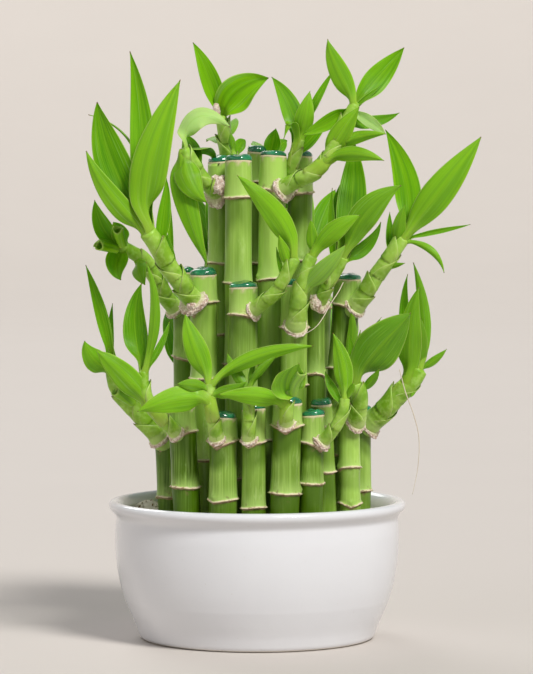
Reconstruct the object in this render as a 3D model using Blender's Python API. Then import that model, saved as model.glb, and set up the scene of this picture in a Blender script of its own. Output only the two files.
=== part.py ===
"""Three-tier lucky bamboo standing in a round glazed pot, modelled at real size with its origin under the pot.

Every cane is a cut length of stem with leaf-scar rings and a wax seal on its cut end. Every cane carries one
leafy shoot. All sizes below are millimetres; the mesh helpers turn them into metres.
"""

import math

import bmesh
import bpy
import numpy as np

MM = 0.001
GAP = 0.3  # clearance kept between two touching pieces

# Pot, turned about Z
POT_HEIGHT = 58.0
POT_FOOT_RADIUS = 48.5
POT_BELLY_RADIUS = 59.7
POT_BELLY_HEIGHT = 45.0
POT_LIP_RADIUS = 62.5
POT_LIP_CREST_RADIUS = 60.6
POT_NECK_HEIGHT = 50.5
POT_WALL = 4.2
POT_FLOOR = 5.0
POT_FOOT_ROUND = 2.2
POT_STEPS = 32

# Growing bed, the pale medium that holds the canes
BED_TOP = 51.0
BED_ROUND = 1.0

# Canes
CANE_FOOT = 14.0  # height of every cane's lower end
CANE_SIDES = 8
CANE_TOP_STRAIGHT = 0.97  # radius share at the cut end
RING_SWELL = 1.07  # radius share at a leaf-scar ring
RING_HALF = 1.3
WAX_HEIGHT = 1.8

# Shoots
STALK_SIDES = 6
LEAF_THICK = 0.9
LEAF_ROOT = 0.95  # a leaf's foot lies this far up towards its place on the stalk, so it starts inside
STRONG_BEND = 0.25  # a leaf with more bow than this share of its length turns its face along the bend
LEAF_FOLD = 0.16  # depth of the midrib under the margins, as a share of the half width

# foot (x, y), top (x, y, z), radius, heights of the leaf-scar rings
SHORT_CANES = (
    ((-34.0, -8.0), (-38.0, -8.0, 97.0), 5.4, (60.0, 84.0)),
    ((-26.5, -30.0), (-31.0, -30.0, 99.0), 5.7, (66.0, 89.5)),
    ((-13.7, -38.0), (-13.7, -39.5, 95.4), 5.8, (62.0, 86.0)),
    ((-1.2, -41.0), (-1.2, -42.0, 98.8), 4.9, (58.7, 86.0)),
    ((9.9, -41.0), (12.7, -41.0, 101.4), 6.0, (64.6, 92.6)),
    ((20.9, -36.0), (23.1, -36.0, 96.0), 4.9, (68.0, 85.0)),
    ((30.6, -25.0), (26.6, -26.6, 99.8), 4.4, (72.0, 91.0)),
    ((38.9, -19.6), (38.1, -20.0, 97.0), 4.5, (58.5, 73.5, 93.0)),
    ((43.2, 0.0), (43.6, 0.0, 95.0), 4.5, (61.7, 91.0)),
    ((-36.0, 15.5), (-37.5, 16.0, 98.0), 4.8, (64.0, 87.0)),
    ((-26.0, 33.0), (-27.0, 34.0, 96.0), 5.2, (60.0, 85.0)),
    ((-3.0, 42.0), (-3.0, 44.0, 99.0), 5.4, (66.0, 88.0)),
    ((22.0, 37.0), (23.0, 38.5, 97.0), 5.0, (62.0, 86.0)),
    ((37.6, 20.6), (41.5, 22.5, 98.0), 4.9, (69.0, 87.0)),
)
MIDDLE_CANES = (
    ((-30.7, 6.0), (-30.7, 6.0, 153.0), 4.6, (83.0, 118.0, 139.0)),
    ((-20.9, -17.0), (-22.2, -17.0, 153.0), 5.6, (76.0, 110.0, 142.0)),
    ((-5.5, -27.0), (-5.5, -28.0, 148.0), 5.9, (70.0, 104.0, 137.0)),
    ((15.0, -24.5), (15.4, -26.5, 149.0), 5.5, (74.0, 108.0, 132.0)),
    ((23.6, -16.2), (24.2, -17.5, 151.0), 4.2, (80.0, 112.0, 142.0)),
    ((28.4, -7.0), (37.9, -9.0, 151.0), 5.7, (78.0, 114.0, 141.0)),
    ((-23.5, 18.5), (-24.0, 20.0, 150.0), 4.8, (72.0, 109.0, 139.0)),
    ((2.0, 28.5), (2.0, 29.5, 152.0), 5.2, (81.0, 113.0, 140.0)),
    ((25.0, 20.0), (26.5, 21.0, 151.0), 5.0, (76.0, 107.0, 138.0)),
)
TALL_CANES = (
    ((-15.2, -1.5), (-15.2, -1.5, 200.0), 5.4, (88.0, 128.0, 158.0, 186.0)),
    ((-8.0, -14.0), (-7.6, -14.0, 200.0), 5.7, (79.0, 116.0, 149.5, 185.0)),
    ((4.2, -12.6), (6.8, -13.0, 202.0), 5.7, (84.0, 120.0, 151.5, 188.5)),
    ((17.6, -2.0), (18.0, -2.0, 202.0), 5.3, (92.0, 131.0, 160.0, 187.0)),
    ((0.0, 12.0), (0.0, 12.0, 204.0), 4.2, (86.0, 125.0, 157.0, 191.6)),
    ((-13.0, 13.5), (-13.5, 14.5, 199.0), 5.0, (82.0, 122.0, 154.0, 186.0)),
)

# Shoots that face the front. Each has its stalk's path from the cane outwards, the stalk's two end radii, and
# its leaves: share of the way up the stalk, tip (x, y, z), width, and bow, the offset of the leaf's middle from
# the straight line between its ends.
FRONT_SHOOTS = {
    "short_1": (
        ((-40, -12, 85), (-46, -15, 92), (-53, -17, 100), (-58, -18, 107), (-60, -18, 117)),
        (3.7, 2.8),
        (
            (0.9, (-71, -24, 126), 9.9, (-2, -2, -2)),
            (1.0, (-71, -15, 157), 5.4, (1, 0, 0)),
            (0.97, (-60, -12, 141), 3.2, (-1, 0, 0)),
        ),
    ),
    "short_2": (
        ((-33, -35, 89), (-39, -40, 95), (-44, -43, 102), (-46, -43, 108), (-46, -42, 115)),
        (2.8, 2.1),
        (
            (0.5, (-64, -48, 122), 13.0, (-1, -3, 1)),
            (1.0, (-47, -36, 150), 10.2, (-6, 2, 0)),
            (0.98, (-45, -44, 159), 4.5, (5, -2, 0)),
            (0.93, (-36, -24, 134), 3.3, (1, 0, -1)),
        ),
    ),
    "short_3": (
        ((-16, -44, 87), (-18, -49, 97), (-19, -50, 105), (-19, -49, 110)),
        (2.9, 2.2),
        (
            (1.0, (-29, -46, 138), 9.7, (-1, -2, 0)),
            (0.88, (-32, -55, 110), 5.2, (0, -2, 1)),
            (0.82, (-4, -54, 111), 5.6, (0, -2, -2)),
            (0.72, (-48, -58, 99), 11.2, (0, -3, 2)),
            (0.97, (23, -49, 125), 6.5, (0, -4, 6)),
        ),
    ),
    "short_4": (
        ((-3, -46, 87), (-3, -50, 95), (-3, -50, 103), (-3, -49, 108)),
        (2.6, 2.0),
        (
            (1.0, (9, -51, 122), 4.0, (-1, -2, 1)),
            (0.96, (-1, -47, 120), 2.8, (0, 0, 0)),
            (0.9, (-12, -44, 122), 4.9, (-1, -1, 0)),
        ),
    ),
    "short_5": (
        ((12, -46, 93), (12, -50, 98), (12, -51, 103)),
        (2.8, 2.3),
        (
            (1.0, (17, -64, 119), 13.6, (-2, -2, 2)),
            (0.85, (-15, -62, 106), 8.0, (0, -3, 0)),
        ),
    ),
    "short_6": (
        ((26, -39, 85), (31, -42, 90), (35, -44, 98), (36, -44, 104)),
        (2.6, 2.0),
        (
            (1.0, (31, -42, 130), 7.5, (1.5, -1, 0)),
            (0.9, (39, -49, 110), 3.2, (1, 0, 1)),
            (0.8, (28, -37, 114), 4.1, (-1, 0, 0)),
        ),
    ),
    "short_7": (
        ((30, -22, 91), (33, -19, 100), (36, -17, 108)),
        (2.0, 1.6),
        (
            (1.0, (39, -17, 140), 5.0, (2, 0, 0)),
            (0.97, (43, -15, 130), 3.3, (1, 0, 0)),
            (0.94, (49, -11, 132), 3.7, (0, 2, 0)),
            (0.9, (52, -6, 135), 4.2, (-1, 2, 0)),
        ),
    ),
    "short_8": (
        ((41, -24, 93), (42, -28, 98), (42, -31, 104), (40, -32, 109)),
        (3.0, 2.6),
        (
            (1.0, (63, -38, 138), 17.5, (0, -3, 0)),
            (0.85, (38, -33, 129), 4.5, (0, 0, 0)),
            (0.7, (50, -37, 115), 4.1, (1, 0, 0)),
        ),
    ),
    "short_9": (
        ((48, -3, 91), (55, -8, 98), (60, -10, 104), (65, -11, 109), (68, -11, 114)),
        (4.1, 3.4),
        (
            (1.0, (65, -12, 158), 5.8, (3, 0, 0)),
            (0.75, (67, -22, 148), 10.3, (-3, -2, 0)),
            (0.78, (63, -5, 153), 5.4, (-3, 2, 0)),
            (0.97, (79, -13, 122), 3.7, (0, 0, -1)),
            (0.8, (64, -14, 102), 2.9, (1, 0, 0)),
            (0.92, (68, -17, 135), 5.8, (1, 0, 0)),
        ),
    ),
    "middle_1": (
        ((-35, 3, 139), (-39, -2, 145), (-43, -8, 153), (-47, -12, 159), (-53, -16, 163), (-57, -19, 165)),
        (3.1, 2.6),
        (
            (1.0, (-67, -20, 184), 7.5, (-2, 0, -2)),
            (0.97, (-66, -24, 165), 7.0, (-1, -2, 3)),
            (0.94, (-56, -26, 151), 8.5, (-4, -2, 0)),
            (0.72, (-46, -26, 149), 7.4, (-2, -4, 1)),
            (0.9, (-59, -27, 175), 7.0, (0, -3, 1)),
        ),
    ),
    "middle_2": (
        ((-25, -20, 141), (-30, -27, 148), (-36, -33, 157), (-41, -38, 166), (-45, -41, 172)),
        (3.9, 3.4),
        (
            (1.0, (-31, -42, 233), 17.1, (-4, -6, 0)),
            (0.97, (-65, -35, 224), 15.5, (-4, 2, 1)),
            (0.9, (-69, -47, 204), 9.7, (-3, -3, -2)),
            (0.98, (-52, -26, 245), 11.1, (3, 4, 0)),
            (0.94, (-69, -29, 219), 3.3, (10, 6, 9)),
            (0.45, (-36, -31, 187), 2.5, (0, 1, 0)),
            (0.4, (-37, -37, 171), 4.9, (-1, 0, 0)),
            (0.75, (-37, -34, 193), 5.7, (1, 0, 0)),
        ),
    ),
    "middle_3": (
        ((0, -33, 140), (5, -38, 144), (10, -41, 150), (14, -43, 157), (16, -43, 161)),
        (3.0, 2.3),
        (
            (1.0, (-8, -47, 194), 10.1, (2, -4, 2)),
            (0.8, (9, -48, 170), 4.9, (0, 0, 0)),
            (0.6, (8, -44, 165), 2.2, (0, 0, 0)),
        ),
    ),
    "middle_4": (
        ((16, -32, 133), (17, -36, 142), (19, -38, 151), (21, -39, 158), (23, -39, 162)),
        (4.0, 2.6),
        (
            (1.0, (22, -41, 176), 4.9, (0, 0, 0)),
            (0.97, (42, -44, 178), 8.1, (-1, -3, 2)),
            (0.45, (36, -49, 166), 7.7, (0, -3, -1)),
        ),
    ),
    "middle_5": (
        ((26, -22, 142), (29, -27, 149), (33, -29, 156), (36, -30, 161)),
        (2.6, 2.3),
        (
            (1.0, (59, -36, 190), 11.8, (-4, -3, 3)),
            (0.9, (51, -25, 175), 5.8, (2, 2, -3)),
            (0.83, (40, -16, 209), 12.4, (2, 3, 0)),
            (0.8, (37, -8, 194), 10.8, (-1, 4, 0)),
            (0.6, (31, -30, 189), 3.7, (-1, 0, 0)),
        ),
    ),
    "middle_6": (
        ((41, -13, 140), (46, -17, 147), (51, -20, 155), (56, -22, 162), (61, -23, 169)),
        (3.9, 2.8),
        (
            (1.0, (53, -18, 213), 11.2, (5, 4, 0)),
            (0.98, (92, -29, 210), 13.1, (0, -4, 0)),
            (0.95, (88, -24, 174), 2.5, (0, 0, 0)),
            (0.93, (77, -27, 154), 3.3, (3, -2, 4)),
            (0.85, (61, -27, 182), 5.8, (-1, -2, 0)),
            (0.7, (55, -18, 179), 3.7, (0, 0, 0)),
            (0.55, (61, -25, 158), 2.8, (0, 0, 0)),
        ),
    ),
    "tall_1": (
        ((-17, -8, 187), (-21, -13, 191), (-26, -17, 198), (-31, -18, 205)),
        (3.1, 2.6),
        (
            (1.0, (-11, -16, 214), 6.5, (-4, -1, 10)),
            (0.95, (-17, -3, 201), 9.0, (2, 4, 3)),
            (0.9, (-20.5, -25, 183), 11.0, (-3.3, -4, -1)),
            (0.97, (-20.3, -21, 157), 10.5, (-4, -4, 3)),
            (0.5, (-30, -4, 211), 6.0, (1, 3, 2)),
        ),
    ),
    "tall_2": (
        ((-9, -7, 188), (-9, -3, 196), (-10, -1, 204)),
        (1.8, 1.4),
        ((1.0, (-11, -1, 212), 3.4, (0, 0, 0)), (0.8, (-5, 10, 209), 5.1, (0, 2, 2))),
    ),
    "tall_3": (
        (
            (11, -18, 189), (19, -22, 193), (24, -24, 196), (29, -25, 201),
            (33, -25, 209), (38, -24, 219), (41, -23, 224),
        ),
        (3.4, 2.4),
        (
            (0.45, (52, -35, 200), 6.5, (-1, -4, 3)),
            (0.55, (53, -30, 211), 5.3, (-1, -1, 2)),
            (0.8, (59, -15, 220), 5.4, (0, 3, -2)),
            (1.0, (29, -26, 250), 8.6, (-2, -2, 0)),
            (0.98, (61, -14, 247), 10.4, (0, 3, 0)),
            (0.97, (19, -22, 211), 6.6, (0, 0, -1)),
            (0.95, (51, -20, 231), 2.2, (0, 0, 0)),
            (0.93, (53, -25, 211), 4.1, (1, 1, 0)),
            (0.42, (42, -30, 222), 9.0, (-1, -1, 0)),
        ),
    ),
    "tall_4": (
        ((13, -8, 190), (14, -11, 196), (16, -14, 203), (18, -15, 210)),
        (2.5, 2.2),
        (
            (0.8, (6, -8, 235), 8.8, (3, 3, 1)),
            (0.9, (22, -18, 229), 8.3, (0, -4, 0)),
            (0.7, (11, -22, 209), 5.0, (1, -2, 11)),
            (1.0, (32, -9, 238), 3.7, (-1, 2, 0)),
            (0.6, (30, -14, 218), 5.8, (0, 0, 0)),
        ),
    ),
    "tall_5": (
        ((2, 18, 191), (3, 17, 196), (5, 15, 201)),
        (2.2, 1.8),
        (
            (1.0, (8, 11, 214), 7.2, (0, 0, 0)),
            (0.9, (-2, 42, 209), 7.8, (0, 6, 2)),
            (0.8, (13, 38, 209), 6.9, (0, 6, 2)),
        ),
    ),
    "tall_6": (
        ((-12, 20.5, 187), (-12, 21.5, 196), (-13, 18, 205), (-14, 14, 212), (-15, 11, 219)),
        (3.2, 2.6),
        (
            (1.0, (-27, 8, 250), 8.4, (1, 0, 1)),
            (0.97, (5, 4, 235), 15.1, (-3, 0, 3)),
            (0.6, (-22, 40, 209), 7.8, (0, 4, 3)),
            (0.7, (-9, 46, 219), 6.9, (0, 6, 2)),
        ),
    ),
}

# Shoots at the back follow one rule: a stalk that leans towards a point behind the bundle, then leaves that open
# left and right in turn.
BACK_POINT = (3.0, 96.0)
BACK_STALK_OUT = 9.0
BACK_STALK_RISE = 20.0
BACK_STALK_RADII = (2.8, 2.1)
# share up the stalk, turn from the stalk's heading in degrees, rise in degrees, length, width
BACK_LEAVES = (
    (1.0, 4.0, 68.0, 50.0, 9.5),
    (0.95, 44.0, 46.0, 40.0, 10.5),
    (0.88, -42.0, 50.0, 42.0, 10.0),
    (0.7, 20.0, 22.0, 28.0, 8.5),
    (0.6, -24.0, 14.0, 22.0, 7.5),
)
BACK_LEAF_BOW = 0.1  # sag of a back leaf, as a share of its length


def clear_scene():
    for obj in list(bpy.data.objects):
        bpy.data.objects.remove(obj, do_unlink=True)


def make_material(name, colour, roughness, metallic=0.0):
    material = bpy.data.materials.new(name)
    material.use_nodes = True
    shader = material.node_tree.nodes["Principled BSDF"]
    shader.inputs["Base Color"].default_value = (*colour, 1.0)
    shader.inputs["Roughness"].default_value = roughness
    shader.inputs["Metallic"].default_value = metallic
    return material


def link_mesh(name, mesh, material, guide=False):
    obj = bpy.data.objects.new(name, mesh)
    bpy.context.scene.collection.objects.link(obj)
    if material is not None:
        mesh.materials.append(material)
    if guide:
        obj.hide_render = True
        obj.display_type = "WIRE"
    else:
        mesh.shade_smooth()
        mesh.set_sharp_from_angle(angle=math.radians(40))
    return obj


def loft(name, rings, material=None, guide=False):
    """A closed solid through rings of points, each an array (sides, 3) in mm, with a flat face at either end."""
    bm = bmesh.new()
    rows = [[bm.verts.new(point * MM) for point in ring] for ring in rings]
    sides = len(rows[0])
    for low, high in zip(rows, rows[1:]):
        for i in range(sides):
            j = (i + 1) % sides
            bm.faces.new((low[i], low[j], high[j], high[i]))
    bm.faces.new(rows[0][::-1])
    bm.faces.new(rows[-1])
    bmesh.ops.recalc_face_normals(bm, faces=bm.faces)
    mesh = bpy.data.meshes.new(name)
    bm.to_mesh(mesh)
    bm.free()
    return link_mesh(name, mesh, material, guide)


def turned(name, profile, steps, material):
    """A solid of revolution about Z. The profile runs from the axis, over the top and back down its outer side."""
    mesh = bpy.data.meshes.new(name)
    points = [(radius * MM, 0.0, height * MM) for radius, height in profile]
    mesh.from_pydata(points, [(i, i + 1) for i in range(len(points) - 1)], [])
    obj = link_mesh(name, mesh, material)
    screw = obj.modifiers.new("turn", "SCREW")
    screw.steps = steps
    screw.render_steps = steps
    screw.use_merge_vertices = True
    screw.merge_threshold = 1e-5
    screw.use_smooth_shade = True
    return obj


def pot_radius(height):
    """Outer radius of the pot's wall: a parabola from the foot out to the belly, then upright."""
    share = min(height / POT_BELLY_HEIGHT, 1.0)
    return POT_FOOT_RADIUS + (POT_BELLY_RADIUS - POT_FOOT_RADIUS) * (1.0 - (1.0 - share) ** 2)


def arc(centre, radius, start, end, count):
    """Points (radius, height) on an arc, angles in degrees measured from +X towards +Z."""
    angles = np.radians(np.linspace(start, end, count))
    return [(centre[0] + radius * math.cos(a), centre[1] + radius * math.sin(a)) for a in angles]


def inner_wall(gap):
    """The pot's inside from the edge of its floor up to the bed, moved inwards by a gap."""
    corner = (pot_radius(POT_FLOOR) - POT_WALL - 3.0 - gap, POT_FLOOR + gap)
    return [corner, *[(pot_radius(z) - POT_WALL - gap, z) for z in (9.0, 22.0, 45.0)]]


def pot_profile():
    wall_heights = (43.0, 31.0, 20.0, 11.0, 5.0)
    lip_round = POT_LIP_RADIUS - POT_LIP_CREST_RADIUS
    lip = arc((POT_LIP_CREST_RADIUS, POT_HEIGHT - lip_round), lip_round, 115, -60, 5)
    foot_centre = (POT_FOOT_RADIUS - POT_FOOT_ROUND + 0.6, POT_FOOT_ROUND)
    profile = [(0.0, POT_FLOOR), *inner_wall(0.0)]
    profile += [(POT_BELLY_RADIUS - POT_WALL, 52.0), (POT_BELLY_RADIUS - POT_WALL + 1.6, 56.0)]
    profile += lip
    profile += [(POT_BELLY_RADIUS + 0.3, POT_HEIGHT - 5.5), (POT_BELLY_RADIUS - 0.4, POT_NECK_HEIGHT)]
    profile += [(pot_radius(z), z) for z in wall_heights]
    profile += arc(foot_centre, POT_FOOT_ROUND, 0, -90, 4)
    profile.append((0.0, 0.0))
    return profile


def bed_profile():
    inner = inner_wall(GAP)
    top_radius = inner[-1][0]
    rim = [(top_radius - BED_ROUND, BED_TOP), (top_radius, BED_TOP - BED_ROUND)]
    return [(0.0, BED_TOP), *rim, *inner[::-1], (0.0, inner[0][1])]


def cane_rings(foot, top, radius, scars, grow=0.0):
    """Circles up a straight, slightly leaning cane: a swell at each scar ring, then the wax dome on the cut end."""
    stations = [(CANE_FOOT, 1.0)]
    for scar in scars:
        stations += [(scar - RING_HALF, 1.0), (scar, RING_SWELL), (scar + RING_HALF, 1.0)]
    end = top[2]
    stations += [(end, CANE_TOP_STRAIGHT), (end + 0.6 * WAX_HEIGHT, 0.8), (end + WAX_HEIGHT, 0.35)]
    angles = np.linspace(0.0, 2.0 * math.pi, CANE_SIDES, endpoint=False)
    rings = []
    for height, share in stations:
        along = (height - CANE_FOOT) / (end - CANE_FOOT)
        x = foot[0] + (top[0] - foot[0]) * along
        y = foot[1] + (top[1] - foot[1]) * along
        size = radius * share + grow
        level = np.full(CANE_SIDES, height)
        rings.append(np.stack([x + size * np.cos(angles), y + size * np.sin(angles), level], 1))
    if grow:
        rings[0][:, 2] -= grow
        rings[-1][:, 2] += grow
    return rings


def frame_along(path):
    """Unit tangents of a path given as an array of points."""
    tangents = np.gradient(path, axis=0)
    return tangents / np.linalg.norm(tangents, axis=1)[:, None]


def point_along(path, share):
    """The point that lies this share of the way along a path."""
    steps = np.linalg.norm(np.diff(path, axis=0), axis=1)
    reach = np.concatenate([[0.0], np.cumsum(steps)]) / steps.sum()
    return np.array([np.interp(share, reach, path[:, k]) for k in range(3)])


def stalk_rings(path, radii):
    """Circles along the stalk, which narrows steadily and then closes in a blunt end."""
    end = path[-1] + frame_along(path)[-1] * radii[1] * 0.6
    sizes = [*np.linspace(radii[0], radii[1], len(path)), radii[1] * 0.45]
    path = np.vstack([path, end])
    tangents = frame_along(path)
    angles = np.linspace(0.0, 2.0 * math.pi, STALK_SIDES, endpoint=False)
    rings = []
    for point, tangent, size in zip(path, tangents, sizes):
        across = np.cross(tangent, (0.0, 1.0, 0.0))
        across /= np.linalg.norm(across)
        up = np.cross(across, tangent)
        rings.append(point + size * (np.outer(np.cos(angles), across) + np.outer(np.sin(angles), up)))
    return rings


def leaf_side(chord, bow, facing):
    """The direction from margin to margin: square to the way it faces, or square to the bend of a bent leaf."""
    length = np.linalg.norm(chord)
    side = np.cross(chord, facing)
    if np.linalg.norm(bow) > STRONG_BEND * length:
        side = np.cross(chord, bow)
    elif np.linalg.norm(side) < 0.5 * length:
        side = np.cross(chord, (0.0, 0.0, 1.0))
    return side / np.linalg.norm(side)


def leaf_rings(base, tip, width, bow, facing):
    """Four-cornered sections along a curved midrib: left margin, back, right margin and front.
    The half width follows a sine that is fullest before the middle and keeps a narrow foot at the stalk."""
    share = np.array([0.0, 0.2, 0.48, 0.78, 1.0])[:, None]
    bow = np.array(bow, float)
    knee = (base + tip) / 2 + 2 * bow
    path = (1 - share) ** 2 * base + 2 * share * (1 - share) * knee + share**2 * tip
    tangents = frame_along(path)
    across = leaf_side(tip - base, bow, facing)
    side = across - tangents * (tangents @ across)[:, None]
    side /= np.linalg.norm(side, axis=1)[:, None]
    normal = np.cross(side, tangents)
    half = width / 2 * (0.3 * (1 - share) ** 3 + np.sin(math.pi * share**0.85) ** 0.75 * (1 - 0.15 * share))
    half = np.maximum(half, 0.25)
    thick = LEAF_THICK / 2 * np.maximum(1 - share, 0.25)
    rib = path + normal * half * LEAF_FOLD
    reach = side * half
    deep = normal * thick
    corners = np.stack([path - reach, rib + deep, path + reach, rib - deep], 1)
    return list(corners)


def back_shoot(foot, top, scar):
    """Stalk path and leaves of a shoot that leans towards the point behind the bundle."""
    along = (scar - CANE_FOOT) / (top[2] - CANE_FOOT)
    start = np.array([foot[k] + (top[k] - foot[k]) * along for k in range(2)] + [scar])
    lean = math.atan2(BACK_POINT[1] - start[1], BACK_POINT[0] - start[0])
    out = np.array([math.cos(lean), math.sin(lean), 0.0])
    reaches = ((4.0, 0.0), (4.0 + 0.6 * BACK_STALK_OUT, 0.4), (4.0 + BACK_STALK_OUT, 1.0))
    path = np.array([start + out * reach + (0.0, 0.0, rise * BACK_STALK_RISE) for reach, rise in reaches])
    leaves = []
    for share, turn, rise, length, width in BACK_LEAVES:
        heading = lean + math.radians(turn)
        lift = math.radians(rise)
        level = math.cos(lift)
        reach = np.array([math.cos(heading) * level, math.sin(heading) * level, math.sin(lift)])
        tip = point_along(path, share) + reach * length
        leaves.append((share, tip, width, (0.0, 0.0, BACK_LEAF_BOW * length)))
    return path, BACK_STALK_RADII, leaves


def make_shoot(name, path, radii, leaves, facing, clearances, material):
    """Stalk and leaves joined into one body, cut back where they meet the canes around them."""
    path = np.array(path, float)
    shoot = loft(name, stalk_rings(path, radii), material)
    parts = bpy.data.collections.new(name + "_leaves")
    for number, (share, tip, width, bow) in enumerate(leaves):
        base = point_along(path, share * LEAF_ROOT)
        rings = leaf_rings(base, np.array(tip, float), width, bow, facing)
        leaf = loft(f"{name}_leaf_{number}", rings, guide=True)
        parts.objects.link(leaf)
    join = shoot.modifiers.new("leaves", "BOOLEAN")
    join.operation = "UNION"
    join.solver = "EXACT"
    join.operand_type = "COLLECTION"
    join.collection = parts
    cut = shoot.modifiers.new("cane_clearance", "BOOLEAN")
    cut.operation = "DIFFERENCE"
    cut.solver = "EXACT"
    cut.operand_type = "COLLECTION"
    cut.collection = clearances
    return shoot


def make_canes(material):
    """Every cane and, for cutting, a guide a little larger than it. Returns {name: (foot, top, scars, guide)}."""
    made = {}
    for tier, table in (("short", SHORT_CANES), ("middle", MIDDLE_CANES), ("tall", TALL_CANES)):
        for number, (foot, top, radius, scars) in enumerate(table, 1):
            name = f"{tier}_{number}"
            loft(f"{tier}_cane_{number}", cane_rings(foot, top, radius, scars), material)
            guide = loft(f"{name}_clearance", cane_rings(foot, top, radius, scars, GAP), guide=True)
            made[name] = (foot, top, scars, guide)
    return made


def collection_of(name, objects):
    group = bpy.data.collections.new(name)
    for obj in objects:
        group.objects.link(obj)
    return group


def near(path, leaves, foot, top, reach):
    """Whether a cane stands inside the box around a shoot's points, grown by reach."""
    points = np.array([*path, *[leaf[1] for leaf in leaves]], float)
    low = points.min(0) - reach
    high = points.max(0) + reach
    inside = low[0] <= max(foot[0], top[0]) and min(foot[0], top[0]) <= high[0]
    inside = inside and low[1] <= max(foot[1], top[1]) and min(foot[1], top[1]) <= high[1]
    return inside and low[2] <= top[2]


def main():
    clear_scene()
    glaze = make_material("white_glaze", (0.82, 0.83, 0.84), 0.22)
    medium = make_material("pale_medium", (0.62, 0.56, 0.44), 0.85)
    cane_skin = make_material("cane_skin", (0.32, 0.52, 0.10), 0.42)
    leaf_skin = make_material("leaf_skin", (0.16, 0.42, 0.03), 0.38)

    turned("pot", pot_profile(), POT_STEPS, glaze)
    canes = make_canes(cane_skin)
    bed = turned("growing_bed", bed_profile(), POT_STEPS, medium)
    holes = bed.modifiers.new("cane_holes", "BOOLEAN")
    holes.operation = "DIFFERENCE"
    holes.solver = "EXACT"
    holes.operand_type = "COLLECTION"
    holes.collection = collection_of("all_clearances", [cane[3] for cane in canes.values()])

    for name, (foot, top, scars, _) in canes.items():
        tier, number = name.split("_")
        if name in FRONT_SHOOTS:
            path, radii, leaves = FRONT_SHOOTS[name]
            facing = (0.0, 1.0, 0.0)
        else:
            path, radii, leaves = back_shoot(foot, top, scars[-1])
            facing = (0.0, 0.0, -1.0)
        around = [other[3] for other in canes.values() if near(path, leaves, other[0], other[1], 9.0)]
        clearances = collection_of(name + "_around", around)
        make_shoot(f"{tier}_shoot_{number}", path, radii, leaves, facing, clearances, leaf_skin)


main()
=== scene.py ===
import math

import bpy
import numpy as np
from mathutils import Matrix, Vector


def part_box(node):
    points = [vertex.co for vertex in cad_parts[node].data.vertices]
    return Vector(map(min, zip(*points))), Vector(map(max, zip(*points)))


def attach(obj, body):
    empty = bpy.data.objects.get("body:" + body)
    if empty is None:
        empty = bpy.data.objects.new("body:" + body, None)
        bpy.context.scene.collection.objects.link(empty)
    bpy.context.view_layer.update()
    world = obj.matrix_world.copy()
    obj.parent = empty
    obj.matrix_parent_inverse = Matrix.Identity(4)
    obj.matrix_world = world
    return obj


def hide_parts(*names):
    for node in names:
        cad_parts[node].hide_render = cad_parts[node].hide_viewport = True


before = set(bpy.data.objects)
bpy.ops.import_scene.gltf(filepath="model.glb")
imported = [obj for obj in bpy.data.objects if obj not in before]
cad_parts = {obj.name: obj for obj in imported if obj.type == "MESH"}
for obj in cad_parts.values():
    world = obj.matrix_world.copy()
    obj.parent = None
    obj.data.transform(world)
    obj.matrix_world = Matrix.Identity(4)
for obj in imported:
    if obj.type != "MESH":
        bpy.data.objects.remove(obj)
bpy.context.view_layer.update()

toMetres = 0.001  # shapes below are worked out in millimetres
fullTurn = 2 * math.pi


def vec(*numbers):
    return np.array(numbers, float)


def triple(*columns):
    # three numbers or arrays, spread over one shape and laid side by side along a last axis
    return np.stack(np.broadcast_arrays(*columns), -1)


def unit(vectors):
    # the same directions, one long
    return vectors / np.maximum(np.linalg.norm(vectors, axis=-1, keepdims=True), 1e-9)


def squareTo(axis, vectors):
    # the vectors less their share along a unit axis
    return vectors - axis * np.sum(vectors * axis, -1, keepdims=True)


def smooth(low, high, x):
    # 0 below low, 1 above high, and a cubic ease between
    t = np.clip((x - low) / (high - low), 0, 1)
    return t * t * (3 - 2 * t)


def bell(x, width):
    # 1 at 0, falling to about a third at `width` either side
    return np.exp(-((x / width) ** 2))


def taper(ends, share):
    # in a straight line from the first end to the second
    return ends[0] + (ends[1] - ends[0]) * share


def ripple(points, size, seed):
    # mean of seven sine waves in random directions, each about `size` long: a smooth noise near -1..1
    rng = np.random.default_rng(seed)
    ways = unit(rng.normal(size=(7, 3))) * (fullTurn / size * rng.uniform(0.6, 1.7, (7, 1)))
    return np.sin(points @ ways.T + rng.uniform(0, 6.28, 7)).mean(-1) * 1.7


def lengthsAlong(path):
    # distance along the path to each of its points
    return np.concatenate([[0], np.cumsum(np.linalg.norm(np.diff(path, axis=0), axis=1))])


def resample(path, shares):
    # points at the given shares of the path's length
    reach = lengthsAlong(path)
    return np.stack([np.interp(np.asarray(shares) * reach[-1], reach, path[:, k]) for k in range(3)], -1)


def spline(knots, count):
    # a Catmull-Rom curve through the knots, worked out finely, then at `count` places an equal length apart
    knots = np.array(knots, float)
    padded = np.vstack([2 * knots[0] - knots[1], knots, 2 * knots[-1] - knots[-2]])
    place = np.linspace(0, len(knots) - 1 - 1e-9, 400)
    i = place.astype(int)
    t = (place - i)[:, None]
    a, b, c, d = padded[i], padded[i + 1], padded[i + 2], padded[i + 3]
    fine = 0.5 * (2 * b + (c - a) * t + (2 * a - 5 * b + 4 * c - d) * t**2 + (3 * b - a - 3 * c + d) * t**3)
    return resample(fine, np.linspace(0, 1, count))


def profileCurve(knots, count):
    # the same curve through pairs of radius and height
    return spline([(r, 0, z) for r, z in knots], count)[:, [0, 2]]


def ringTurns(sides):
    # angles of a ring's corners
    return np.linspace(0, fullTurn, sides, endpoint=False)


def turnedRings(profile, sides):
    # a profile of radii and heights turned about Z
    turn = ringTurns(sides)
    r, z = profile[:, :1], profile[:, 1:]
    return triple(r * np.cos(turn), r * np.sin(turn), z)


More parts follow.
